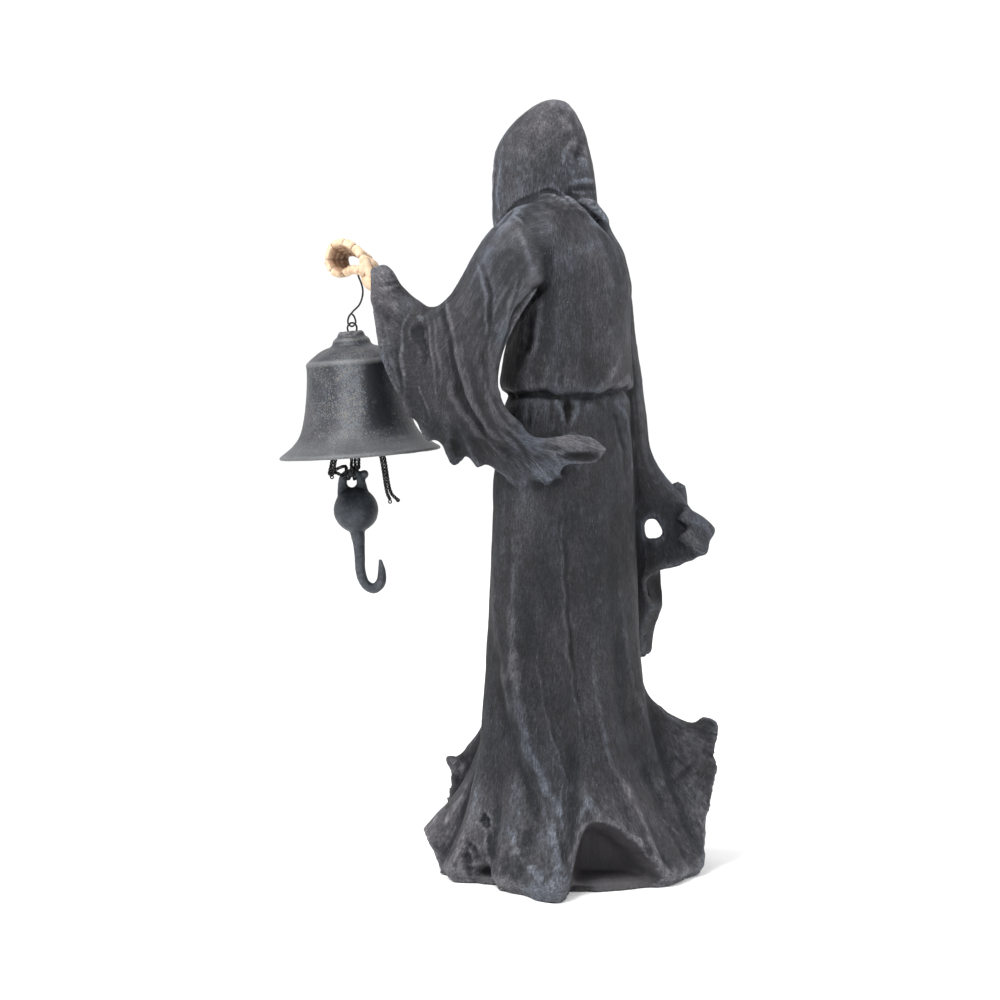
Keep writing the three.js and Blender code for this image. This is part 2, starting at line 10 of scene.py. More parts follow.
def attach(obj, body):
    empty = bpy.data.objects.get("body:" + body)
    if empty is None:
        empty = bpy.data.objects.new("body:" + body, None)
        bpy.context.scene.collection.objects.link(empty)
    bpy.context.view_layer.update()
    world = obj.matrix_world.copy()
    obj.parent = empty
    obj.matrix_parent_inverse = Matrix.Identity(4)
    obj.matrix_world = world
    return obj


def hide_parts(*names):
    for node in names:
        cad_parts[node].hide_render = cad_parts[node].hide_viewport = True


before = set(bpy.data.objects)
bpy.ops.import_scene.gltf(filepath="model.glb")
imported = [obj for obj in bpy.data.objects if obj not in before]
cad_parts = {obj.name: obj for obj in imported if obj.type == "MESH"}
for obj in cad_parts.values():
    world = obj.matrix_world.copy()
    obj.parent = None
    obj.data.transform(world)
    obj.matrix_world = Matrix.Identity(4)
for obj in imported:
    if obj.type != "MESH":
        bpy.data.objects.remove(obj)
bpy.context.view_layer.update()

# Camera and light: a studio picture of the figure from behind its left shoulder, on a pale table,
# with a large soft light on the camera's left, a weaker one on its right and white walls all round.
scene = bpy.context.scene
bpy.ops.object.select_all(action="DESELECT")
seen_from = np.array([1.1234, 0.8957, 0.2809])
looked_at = np.array([0.0231, -0.0276, 0.193])
lens_over_sensor = 100 / 36

camera_data = bpy.data.cameras.new("camera")
camera_data.lens = 100
camera_data.sensor_width = 36
camera = bpy.data.objects.new("camera", camera_data)
camera.location = seen_from
camera.rotation_euler = Vector(looked_at - seen_from).to_track_quat("-Z", "Y").to_euler()
scene.collection.objects.link(camera)
scene.camera = camera

forward = (looked_at - seen_from) / np.linalg.norm(looked_at - seen_from)
rightward = np.cross(forward, [0, 0, 1])
rightward = rightward / np.linalg.norm(rightward)
upward = np.cross(rightward, forward)

bpy.ops.mesh.primitive_plane_add(size=6, location=(0, 0, 0))
floor = bpy.context.object
floor.name = "floor"
floor_paint = bpy.data.materials.new("pale floor")
floor_paint.use_nodes = True
floor_paint.node_tree.nodes["Principled BSDF"].inputs["Base Color"].default_value = (0.99, 0.99, 0.99, 1)
floor_paint.node_tree.nodes["Principled BSDF"].inputs["Roughness"].default_value = 0.9
floor.data.materials.append(floor_paint)

world = bpy.data.worlds.new("white room")
world.use_nodes = True
world.node_tree.nodes["Background"].inputs["Color"].default_value = (1, 1, 1, 1)
world.node_tree.nodes["Background"].inputs["Strength"].default_value = 1.03
scene.world = world
scene.view_settings.view_transform = "Standard"


def soft_light(name, sideways, height, nearer, size, power):
    lamp = bpy.data.lights.new(name, "AREA")
    lamp.shape = "SQUARE"
    lamp.size = size
    lamp.energy = power
    made = bpy.data.objects.new(name, lamp)
    place = looked_at + rightward * sideways - forward * nearer
    place[2] = height
    made.location = place
    made.rotation_euler = Vector(looked_at - place).to_track_quat("-Z", "Y").to_euler()
    scene.collection.objects.link(made)


soft_light("key light", -0.7, 1.6, 0.8, 0.8, 36)
soft_light("fill light", 1.3, 0.7, 0.3, 0.6, 5)


# Robe: one painted resin casting of a long wrapped robe with a hood, wide torn sleeves and a ragged hem on a
# low patch of ground. Its forms are lofted, fused, and then folded and creased as if modelled in clay.
# All its lengths are in mm, and its bearings in degrees round the figure, from its left hand's side.
mm = 0.001
belt_height = 244.5
hem_reach = 70
ground_height = 6.5
cloth_thickness = 3.4
skirt_fall = 262
sleeve_length = 150
robe_voxel = 1.1
robe_triangles = 186000
picture_width = 1000
picture_middle = 500
picture_left = np.array([0.643, -0.766, 0])


def lerp(first, second, share):
    return first + (second - first) * share


def smooth_step(low, high, value):
    share = np.clip((value - low) / (high - low), 0, 1)
    return share * share * (3 - 2 * share)


def through(points, shares):
    """Smooth curve through points, equally shared out between them."""
    points = np.asarray(points, float)
    shares = np.atleast_1d(np.asarray(shares, float))
    last = len(points) - 1
    place = np.clip(shares, 0, 1) * last
    first = np.minimum(place.astype(int), last - 1)
    rest = (place - first)[:, None]
    padded = np.vstack([2 * points[0] - points[1], points, 2 * points[-1] - points[-2]])
    before, start, end, after = (padded[first + step] for step in range(4))

    def knot(one, other):
        return np.maximum(np.sum((one - other) ** 2, axis=1), 1e-12)[:, None] ** 0.25

    gap_before, gap, gap_after = knot(before, start), knot(start, end), knot(end, after)
    leaving = (start - before) / gap_before - (end - before) / (gap_before + gap) + (end - start) / gap
    coming = (end - start) / gap - (after - start) / (gap + gap_after) + (after - end) / gap_after
    leaving, coming = leaving * gap, coming * gap
    square, cube = rest**2, rest**3
    return (
        (2 * cube - 3 * square + 1) * start
        + (cube - 2 * square + rest) * leaving
        + (3 * square - 2 * cube) * end
        + (cube - square) * coming
    )


def at_height(stations, column, heights):
    """One column of a table of stations, read along curves that never overshoot."""
    table = np.asarray(stations, float)
    known, values = table[:, 0], table[:, column]
    slopes = np.diff(values) / np.diff(known)
    before, after = slopes[:-1], slopes[1:]
    middle = np.where(after * before > 0, 2 * after * before / (after + before + 1e-12), 0)
    tangent = np.concatenate([slopes[:1], middle, slopes[-1:]])
    heights = np.clip(heights, known[0], known[-1])
    first = np.clip(np.searchsorted(known, heights, side="right") - 1, 0, len(known) - 2)
    gap = known[first + 1] - known[first]
    rest = (heights - known[first]) / gap
    square, cube = rest**2, rest**3
    return (
        (2 * cube - 3 * square + 1) * values[first]
        + (cube - 2 * square + rest) * tangent[first] * gap
        + (3 * square - 2 * cube) * values[first + 1]
        + (cube - square) * tangent[first + 1] * gap
    )


def bearing_gap(bearing, other):
    return (bearing - other + 180) % 360 - 180


# bearing, spread before, spread after, height of the cloth's edge, extra reach
hem_lifts = [
    (-67, 9, 8, 57, -3),
    (-50, 8, 13, 23, 8),
    (-7, 7, 6, 14, -1),
    (51, 11.5, 28, 39, -3),
    (143, 18, 13, 72, 10),
    (-165, 16, 14, 24, 3),
    (-112, 14, 15, 18, 2),
]
# bearing, spread before, spread after, how much further out the foot stands
foot_reaches = [
    (-22, 8, 7, 4),
    (-4, 9, 10, -10),
    (17, 9, 8, 2),
    (33.5, 10, 6, 19),
    (48, 5, 12, -5),
    (80, 12, 10, 3),
    (122, 16, 12, 0.5),
    (131, 7, 7, -3),
]
# bearing at the belt, bearing at the hem, height, width
skirt_folds = [
    (-8, 36, 4.2, 11),
    (14, 20, -2.0, 8),
    (58, 80, 4.6, 13),
    (88, 104, -2.2, 11),
    (112, 122, 3.4, 10),
    (-34, -20, 3.0, 9),
    (-52, -42, -3.0, 8),
    (-80, -76, 3.4, 10),
    (-104, -100, -3.4, 9),
    (-128, -132, 3.6, 11),
    (-150, -152, -3.0, 9),
    (176, 172, 3.4, 12),
]
# height, half width, half depth, middle (and, for the torso, sideways shift)
skirt_stations = [
    (0, 48, 43, 0), (60, 46, 41, -2), (125, 42.5, 36.5, -3.5), (170, 40.5, 35, -3.5),
    (210, 39.5, 33.5, -3.5), (232, 37.4, 30.8, -2.8), (241, 36.4, 29.2, -1.6), (244.5, 35.4, 28, -1),
]
torso_stations = [
    (244.5, 35.4, 28, -1, 0), (245.6, 35, 27.6, -0.7, 0), (246.4, 32.4, 25, -0.4, 0),
    (247.6, 32.2, 24.8, -0.1, 0), (248.6, 35.8, 28.2, 0.2, 0), (250.6, 37.8, 30, 0.3, 0),
    (254, 38.4, 30.6, 0.5, 0), (268, 37, 29.8, 1.5, 0), (300, 35, 27.5, 2.5, 0), (318, 32, 24.5, 2.5, 1),
    (333, 26, 19, 1, 3), (344, 20, 14, -1, 5), (351, 12, 9, -3, 6),
]
hood_stations = [
    (312, 17, 19, -5), (324, 21, 25.8, -12), (336, 23, 29.8, -16.4), (350, 23.6, 30.5, -18),
    (362, 23.2, 29.5, -18.6), (372, 21.8, 27, -18.2), (381, 18.8, 23.2, -17), (389, 14.4, 18, -15),
    (395, 9.4, 12.4, -12.8), (398.6, 4.8, 6.6, -11), (400, 1.2, 1.6, -10.4),
]


def lift_share(lift, bearing):
    gap = bearing_gap(bearing, lift[0])
    return np.exp(-(np.abs(gap / np.where(gap < 0, lift[1], lift[2])) ** 2.6))


def torn(bearing, wave, seed):
    """Uneven line round the figure, between about -1 and 1, that closes on itself."""
    turns = np.radians(np.atleast_1d(bearing))
    reach = 180 / wave / math.pi
    return np.array([
        noise.noise(Vector((math.cos(turn) * reach, math.sin(turn) * reach, seed))) * 1.6 for turn in turns
    ])


def hem_height(bearing):
    """How high the lower edge of the cloth is lifted off the floor."""
    return np.max([lift[3] * lift_share(lift, bearing) for lift in hem_lifts], axis=0)


def hem_distance(bearing):
    """How far out the hem stands from the figure's axis."""
    lifted = sum(lift[4] * lift_share(lift, bearing) for lift in hem_lifts)
    lifted = lifted + sum(item[3] * lift_share(item, bearing) for item in foot_reaches)
    turns = np.radians(bearing)
    return hem_reach + lifted + 1.6 * np.cos(3 * turns - 1.2) + 1.1 * np.cos(8 * turns + 0.4)


def belt_wave(bearing):
    """How far the belt line rises or sinks round the figure."""
    right_rise = 3.4 * np.exp(-((bearing_gap(bearing, 112) / 30) ** 2))
    left_rise = 2.2 * np.exp(-((bearing_gap(bearing, -44) / 18) ** 2))
    return right_rise + left_rise + torn(bearing, 16, 8.8) * 0.9


def ellipse_radius(stations, heights, bearing):
    width, depth = at_height(stations, 1, heights), at_height(stations, 2, heights)
    turns = np.radians(bearing)
    return 1 / np.hypot(np.cos(turns) / width, np.sin(turns) / depth)


def polar(bearing, radius, middle, height, side=0):
    turns = np.radians(bearing)
    across, along = np.cos(turns) * radius + side, middle + np.sin(turns) * radius
    return np.stack(np.broadcast_arrays(across, along, height), -1)


def closed_loft(name, rings, cloth, across_end=False):
    """Closed mesh through rings of equal counts; cloth holds the grain's own coordinates at each point.

    The ends close on a middle point, or the last one by faces from side to side, with across_end.
    """
    rows, count = rings.shape[:2]
    points = rings.reshape(-1, 3)
    grain = cloth.reshape(-1, 3)
    row, step = np.meshgrid(np.arange(rows - 1), np.arange(count), indexing="ij")
    corner = row * count + step
    beside = row * count + (step + 1) % count
    faces = np.stack([corner, beside, beside + count, corner + count], -1).reshape(-1, 4).tolist()
    for end in (0, rows - 1):
        ring = [end * count + place for place in range(count)]
        if end and across_end:
            for place in range(count // 2):
                face = [ring[place], ring[place + 1], ring[-1 - place], ring[(count - place) % count]]
                face = list(dict.fromkeys(face))
                if len(face) > 2:
                    faces.append(face)
        else:
            middle = len(points)
            points = np.vstack([points, rings[end].mean(axis=0)])
            grain = np.vstack([grain, cloth[end].mean(axis=0)])
            pairs = [[ring[place], ring[(place + 1) % count], middle] for place in range(count)]
            faces.extend([pair[::-1] for pair in pairs] if end == 0 else pairs)
    mesh = bpy.data.meshes.new(name)
    mesh.from_pydata(points * mm, [], faces)
    made = bpy.data.objects.new(name, mesh)
    scene.collection.objects.link(made)
    shell = bmesh.new()
    shell.from_mesh(mesh)
    if shell.calc_volume(signed=True) < 0:
        bmesh.ops.reverse_faces(shell, faces=shell.faces)
    shell.to_mesh(mesh)
    shell.free()
    return made, points, grain


def plain_loft(name, rings):
    """Closed mesh through rings, for a form whose grain isn't followed."""
    return closed_loft(name, rings, rings)[0]


def tube_rings(points, radii, rows, sides):
    """Rings round a smooth line, whose radius changes along it."""
    path = through(points, np.linspace(0, 1, rows + 1))
    tangents = np.gradient(path, axis=0)
    tangents /= np.linalg.norm(tangents, axis=1)[:, None]
    radius = np.interp(np.linspace(0, 1, rows + 1), np.linspace(0, 1, len(radii)), radii)
    slanted = [0.3, 0.2, 0.93]
    normal = np.cross(tangents[0], slanted)
    angles = np.linspace(0, 2 * math.pi, sides, endpoint=False)
    rings = []
    for place, tangent, size in zip(path, tangents, radius):
        normal = normal - tangent * np.dot(normal, tangent)
        normal = normal / np.linalg.norm(normal)
        other = np.cross(tangent, normal)
        rings.append(place + size * (np.cos(angles)[:, None] * normal + np.sin(angles)[:, None] * other))
    return np.array(rings)


def lofted_bar(points, radii, rows, sides):
    return plain_loft("bar", tube_rings(points, radii, rows, sides))


def joined_to(base, other, operation):
    """Joins or cuts two closed meshes, and keeps the first object."""
    cutter = base.modifiers.new("joint", "BOOLEAN")
    cutter.object = other
    cutter.operation = operation
    cutter.solver = "MANIFOLD"
    bpy.context.view_layer.objects.active = base
    bpy.ops.object.modifier_apply(modifier=cutter.name)
    bpy.data.objects.remove(other, do_unlink=True)
    return base


def rounded_ball(centre, radii, turned=0):
    bpy.ops.mesh.primitive_ico_sphere_add(subdivisions=4, radius=1)
    made = bpy.context.object
    shape = Matrix.Translation(Vector(centre) * mm) @ Matrix.Rotation(math.radians(turned), 4, "X")
    made.data.transform(shape @ Matrix.Diagonal((*[radius * mm for radius in radii], 1)))
    return made


def body_shape():
    """Torso, belt and skirt down to the torn hem, with the hollow under it and the ground below."""
    bearing = np.linspace(-180, 180, 420, endpoint=False)
    edge = np.maximum(hem_height(bearing), ground_height + 1)
    curled = smooth_step(12, 30, edge)
    edge = np.maximum(edge + torn(bearing, 14, 3.1) * lerp(0.0, 2.4, curled), ground_height + 1)
    reach = hem_distance(bearing) + torn(bearing, 12, 5.7) * 1.6 + torn(bearing, 5, 2.3) * 1.1
    lifted = smooth_step(ground_height + 1.5, ground_height + 12, edge)
    inner = reach - lerp(22, 28, np.minimum(edge / 72, 1))
    inset = cloth_thickness * lerp(0.5, 0.1, edge / 80)
    drawn_down = cloth_thickness * lerp(0.8, 0.95, edge / 80)
    flush = [
        (reach - 2.4, 0),
        (reach - 0.9, 1.6),
        (reach + 0.1, 3.6),
        (reach + 0.5, 5.4),
        (reach + 0.3, 6.8),
    ]
    hollow = [
        (hem_reach - 7, 0),
        (hem_reach - 9, ground_height - 1.5),
        (inner, ground_height),
        (inner + 2, np.maximum(edge * 0.7, ground_height + 0.3)),
        (reach - inset, edge - drawn_down),
    ]
    under = [
        polar(bearing, lerp(plain[0], deep[0], lifted), 0, lerp(plain[1], deep[1], lifted))
        for plain, deep in zip(flush, hollow)
    ]
    rings = [under[0]]
    for first, second in zip(under[:-1], under[1:]):
        rings.extend(lerp(first, second, share) for share in np.linspace(0, 1, 9)[1:])
    fall = [np.full(len(bearing), skirt_fall + 1 + 0.9 * row) for row in range(len(rings), 0, -1)]
    for row in np.linspace(1, 0, 190)[:-1]:
        drop = 1 - (1 - row) ** 1.3
        height = lerp(belt_height, edge, drop)
        plain = ellipse_radius(skirt_stations, height, bearing)
        flare_top = edge + lerp(134, 62, np.minimum(edge / 72, 1))
        flare = np.clip((flare_top - height) / (flare_top - edge), 0, 1)
        power = lerp(3.0, 7.5, np.minimum(edge / 72, 1))
        folds = 0
        for top, hem, size, width in skirt_folds:
            gap = bearing_gap(bearing, lerp(top, hem, drop**2))
            folds = folds + size * (0.15 + 0.5 * drop) * np.exp(-((gap / width) ** 2))
        height = height + belt_wave(bearing) * smooth_step(belt_height - 40, belt_height, height)
        spread = reach - ellipse_radius(skirt_stations, edge, bearing)
        radius = plain + spread * flare**power + folds * (1 - 0.7 * flare**6)
        middle = at_height(skirt_stations, 3, height) * (1 - flare**power)
        rings.append(polar(bearing, radius, middle, height))
        fall.append(np.full(len(bearing), skirt_fall * drop))
    for height in np.concatenate([np.linspace(belt_height, 256, 30), np.linspace(257, 351, 84)]):
        heights = np.full(len(bearing), height)
        sagging = torn(bearing, 26, 6.4) * 1.3 * smooth_step(246.8, 248.6, height)
        sagging = sagging * (1 - smooth_step(258, 275, height))
        creases = 0.5 * np.cos(np.radians(9 * bearing) + 0.5) * (1 - smooth_step(262, 340, height))
        left_swell = 2.2 * smooth_step(247, 250, height) * (1 - smooth_step(264, 286, height))
        right_swell = -2.8 * smooth_step(247, 260, height) * (1 - smooth_step(286, 306, height))
        radius = ellipse_radius(torso_stations, heights, bearing) + creases
        radius = radius + left_swell * np.exp(-((bearing_gap(bearing, -48) / 26) ** 2))
        radius = radius + right_swell * np.exp(-((bearing_gap(bearing, 130) / 28) ** 2))
        middle, side = at_height(torso_stations, 3, height), at_height(torso_stations, 4, height)
        sagging = sagging + belt_wave(bearing) * (1 - smooth_step(belt_height + 4, belt_height + 34, height))
        rings.append(polar(bearing, radius, middle, height + sagging, side))
        fall.append(belt_height - heights)
    rings = np.array(rings)
    turns = np.radians(bearing)
    around = np.stack([np.cos(turns) * 42, np.sin(turns) * 38], -1)
    cloth = np.concatenate([np.broadcast_to(around, rings.shape[:2] + (2,)), np.array(fall)[:, :, None]], -1)
    return closed_loft("robe body", rings, cloth)


def hood_shape():
    bearing = np.linspace(-180, 180, 240, endpoint=False)
    rings = []
    for share in np.linspace(0, 1, 110):
        height = 312 + 88 * (1 - (1 - share) ** 1.6)
        heights = np.full(len(bearing), height)
        radius = ellipse_radius(hood_stations, heights, bearing)
        rings.append(polar(bearing, radius, at_height(hood_stations, 3, height), height))
    rings = np.array(rings)
    return closed_loft("hood", rings, rings + [hood_grain_start, 0, 0])


def hood_hollow():
    sections = np.array([
        (-62, 17.6, 27, 356), (-34, 17.6, 26, 355), (-14, 16.4, 23, 355), (-3, 11, 16, 357), (3, 3, 5, 358),
    ])
    angles = np.linspace(0, 2 * math.pi, 96, endpoint=False)
    rings = []
    for place in np.linspace(-62, 3, 60):
        width, rise, middle = (np.interp(place, sections[:, 0], sections[:, column]) for column in (1, 2, 3))
        across, up = np.cos(angles) * width, middle + np.sin(angles) * rise
        rings.append(np.stack([across, np.full(len(angles), place), up], -1))
    return plain_loft("hood hollow", np.array(rings))


# Where each part's grain starts on a long strip of cloth, so that no two parts share their grain
hood_grain_start = 300
collar_grain_start = 1200
# Curves of the arm's top, the sleeve's back and its hem; the hem's tongues (place along it, width, drop) and
# pulls towards the picture's left (place, width, reach); and the arm inside
left_sleeve = {
    "arm": [
        (20, 3, 347), (35, -5, 345), (44.5, -14, 331), (49.5, -25.5, 309), (50.2, -42, 294.5),
        (50.6, -55, 290.5), (53, -70, 304), (54, -84, 314.5),
    ],
    "back": [
        (22, 9, 309), (36, 9, 302), (46.5, 4, 286), (52.5, -2, 267), (52.8, -3, 249), (47, 3.5, 236),
        (35, 22, 229.5), (20.5, 43, 222),
    ],
    "hem": [
        (54, -84, 314.5), (57.3, -84.5, 292), (62, -72.5, 264), (59.5, -53, 233), (49, -32, 216),
        (40, -16, 210), (31.5, 8, 206), (27, 28, 209), (20.5, 43, 222),
    ],
    "outward": [(0.9, 0.4, 0), (0.77, 0.64, 0)],
    "thickness": [3, 13, 15, 8],
    "tongues": [
        (0.352, 0.012, 4), (0.376, 0.012, -3), (0.415, 0.016, 2), (0.445, 0.014, -3), (0.482, 0.024, 8),
        (0.53, 0.02, -2), (0.56, 0.014, 2.4), (0.6, 0.014, -1.6), (0.68, 0.05, 4),
    ],
    "pulls": [],
    "limb": [
        (8, 4, 326), (24, 1, 332), (38, -9, 320), (47, -30, 290), (50, -53, 281.5), (53, -70, 292),
        (54.2, -82.5, 302),
    ],
    "limb radii": [6, 14, 15, 12, 10, 10, 9],
    "grain": 600,
}
right_sleeve = {
    "arm": [
        (-18, -2, 338), (-29, -5, 330), (-37, -4, 312), (-40, 0, 286), (-43, -2, 260), (-46, -18, 247),
        (-49, -38, 240),
    ],
    "back": [
        (-20, 6, 306), (-31, 9.5, 292), (-38, 14.5, 268), (-41, 17.5, 243), (-43, 21.5, 215),
        (-52, 35, 193), (-59, 48, 174),
    ],
    "hem": [
        (-49, -38, 240), (-51, -36, 212), (-51, -27, 174), (-50, -10, 140), (-50, 10, 117), (-51, 19, 130),
        (-51, 24, 151), (-54, 36, 161), (-59, 48, 174),
    ],
    "outward": [(-0.95, 0.2, 0), (-0.85, -0.4, 0)],
    "thickness": [3, 10, 13, 9],
    "tongues": [
        (0.3, 0.05, 6), (0.42, 0.02, -4), (0.52, 0.07, 9), (0.62, 0.02, -4), (0.7, 0.02, 3),
        (0.84, 0.04, 3),
    ],
    "pulls": [(0.57, 0.03, 3), (0.735, 0.05, 8), (0.81, 0.035, 6)],
    "limb": [
        (-6, 2, 322), (-20, -4, 325), (-32, -4, 310), (-38, -2, 284), (-42, -4, 258), (-46, -20, 242),
        (-49.5, -41, 232),
    ],
    "limb radii": [6, 12, 13, 12, 10.5, 9.5, 9],
    "grain": 900,
}


def bumps(along, places):
    """Sum of soft bumps along a line, each given by its place, width and height."""
    return sum(height * np.exp(-(((along - place) / width) ** 2)) for place, width, height in places)


def sleeve_rings(sleeve, shares, inset, lowered, past):
    """Rings from the shoulder to the torn hem; past is how far each one lies beyond the hem."""
    turn = np.linspace(0, 2 * math.pi, 360, endpoint=False)
    along = (1 - np.cos(turn)) / 2
    shares = np.asarray(shares, float)
    arm, back = through(sleeve["arm"], shares), through(sleeve["back"], shares)
    cuff, tip = np.array(sleeve["arm"][-1], float), np.array(sleeve["back"][-1], float)
    sag = through(sleeve["hem"], along) - lerp(cuff, tip, along[:, None])
    outward = lerp(np.array(sleeve["outward"][0]), np.array(sleeve["outward"][1]), along[:, None])
    outward = outward / np.linalg.norm(outward, axis=1)[:, None]
    thickness = np.interp(shares, [0, 0.14, 0.5, 1], sleeve["thickness"]) - inset
    top = arm[:, None, :]
    low = (back - [0, inset * 1.6, 0])[:, None, :]
    points = top + (low - top) * along[None, :, None] + sag[None] * (shares**2.2)[:, None, None]
    points = points + outward[None] * (np.sin(turn)[None, :] * thickness[:, None])[:, :, None]
    points[:, :, 2] -= lowered * (1 - along[None]) ** 2.2
    seed = sleeve["grain"]
    ragged = np.array([
        noise.noise(Vector((value * 11, seed, 1.0))) * 3.0
        + noise.noise(Vector((value * 27, seed, 4.0))) * 1.6
        for value in along
    ])
    points[:, :, 2] -= ragged[None] * (shares**10)[:, None]
    points[:, :, 2] -= bumps(along, sleeve["tongues"])[None] * (shares**8)[:, None]
    pulled = bumps(along, sleeve["pulls"])
    points = points + (pulled * (shares**8)[:, None])[:, :, None] * picture_left
    shift = np.stack([0 * along, -12 * (1 - along) ** 2, -5 - 8 * along], -1)
    points = points + shift[None] * np.asarray(past)[:, None, None]
    length = np.broadcast_to((shares * sleeve_length)[:, None], points.shape[:2])
    width = np.broadcast_to((along * sleeve_length)[None, :], points.shape[:2])
    side = np.broadcast_to((np.sin(turn) * 6)[None, :], points.shape[:2])
    return points, np.stack([width + sleeve["grain"], side, length], -1)


def sleeve_shape(name, sleeve):
    """One sleeve with the arm in it, hollow from its hem upwards."""
    shares = np.linspace(0, 1, 130)
    rings, cloth = sleeve_rings(sleeve, shares, 0, 0, 0 * shares)
    outer, points, grain = closed_loft(name, rings, cloth, True)
    joined_to(outer, lofted_bar(sleeve["limb"], sleeve["limb radii"], 70, 64), "UNION")
    inner = np.concatenate([np.linspace(0.55, 1, 60), np.ones(8)])
    beyond = np.concatenate([np.zeros(60), np.linspace(0, 1, 9)[1:]])
    hollow_rings, hollow_grain = sleeve_rings(sleeve, inner, cloth_thickness, 17, beyond)
    hollow = closed_loft("hollow", hollow_rings, hollow_grain, True)[0]
    return joined_to(outer, hollow, "DIFFERENCE"), points, grain


# Outlines of the robe's tears in the picture, in thousandths of its width
tear_outline = [
    (645.5, 519.5), (655, 517.5), (659.5, 525), (663.5, 532), (658.5, 538), (646.5, 538.5), (644, 529),
]
under_tail_outline = [
    (563.5, 465), (575, 464.5), (587, 465.5), (600, 462.5), (606, 455), (616, 455), (616, 490), (548, 492),
    (561, 478),
]
over_tail_outline = [
    (520.5, 419), (525.5, 430), (532, 436), (545, 437.5), (558, 437), (568, 434.5), (580, 426), (560, 405),
    (530, 405),
]
tail_cup_outline = [
    (565, 451.5), (580, 452), (597, 452), (601, 456), (598, 460.5), (586, 462), (570, 461), (563, 458),
]


def seen_prism(name, outline, middle, nearer, farther):
    """Prism along the camera's lines of sight round a picture outline, about a point of the figure."""
    corners = np.array(outline + outline[:1], float)
    places = np.linspace(0, len(outline), 6 * len(outline), endpoint=False)
    line = np.stack([np.interp(places, np.arange(len(corners)), corners[:, axis]) for axis in (0, 1)], -1)
    aside = (line[:, :1] - picture_middle) * rightward + (picture_middle - line[:, 1:]) * upward
    ray = forward + aside / (picture_width * lens_over_sensor)
    depth = (np.array(middle, float) * mm - seen_from) @ forward
    steps = np.linspace(-nearer, farther, 8)
    return plain_loft(name, np.array([(seen_from + ray * (depth + step * mm)) / mm for step in steps]))


# Bars fused into the robe where its edges roll or hang: the line of each and its radii
robe_bars = {
    "cuff": (
        [(55, -83.2, 315), (54.8, -82.2, 311), (54, -79, 303), (52.6, -73, 295)],
        [4.4, 6.8, 8.8, 9.6],
    ),
    "wing curl": (
        [(-56, 42, 75.5), (-60.5, 45.5, 76.5), (-63, 47.8, 74.5), (-63.5, 48, 70)],
        [2.2, 2.6, 2.6, 1.6],
    ),
    "upper tip": (
        [(-46, 38, 186), (-53, 43, 180), (-58.5, 47, 175.5), (-61.5, 48, 174)],
        [4, 5, 4.6, 3],
    ),
    "lower tip": (
        [(-48, 38, 176), (-54, 42, 169), (-58.5, 44, 166.5), (-60.5, 45, 166)],
        [5, 6, 5, 3],
    ),
    "lowest tip": ([(-50, 36, 166), (-55, 37, 162.5), (-58, 37, 161)], [4, 4.4, 2.5]),
    "horn": ([(14, -46, 37), (21, -50, 45.5), (27, -53, 52), (33, -56, 57)], [7, 6.6, 5.2, 3]),
    "tail crest": (
        [(32, 23, 225), (27.5, 29, 226.3), (24.5, 34, 226), (21.5, 40, 222.5)],
        [1.4, 2.2, 2.0, 1.0],
    ),
    "torn strip": (
        [(-49.5, 9.5, 110), (-49.5, 11, 124), (-50.5, 15, 136), (-49, 11.5, 147), (-49.5, 12.5, 158)],
        [2.4, 3.0, 3.6, 2.8, 3.0],
    ),
    "tail lobe": ([(38.5, 5, 217), (37.5, 11, 210), (35, 16.5, 205)], [3.6, 4.8, 3.2]),
}
robe_nub = ([(-50, 29, 185), (-57, 26, 191), (-63, 23, 198.5)], [9, 7, 4.5])
collar_line = [
    (25, -26, 326), (28, -10, 340), (21, 6, 345), (4, 13.5, 343), (-10.5, 12, 336), (-21, 1, 331),
    (-23, -20, 325),
]
collar_radii = [2.5, 3.4, 3.8, 4.8, 4.9, 4.8, 3.5]
# Sockets that the two wrists and the neck's peg go into: line and radius
right_wrist = [(-49, -33, 235), (-50, -42, 231.5), (-50.5, -48, 229.5)]
neck_peg = [(0, -14, 326), (0, -15, 340), (0, -18, 354)]
robe_sockets = [
    ([(54.2, -79, 303.5), (54.4, -88, 306.5), (54, -93, 308.5)], 5.6),
    (right_wrist, 5.6),
    (neck_peg, 5.15),
]


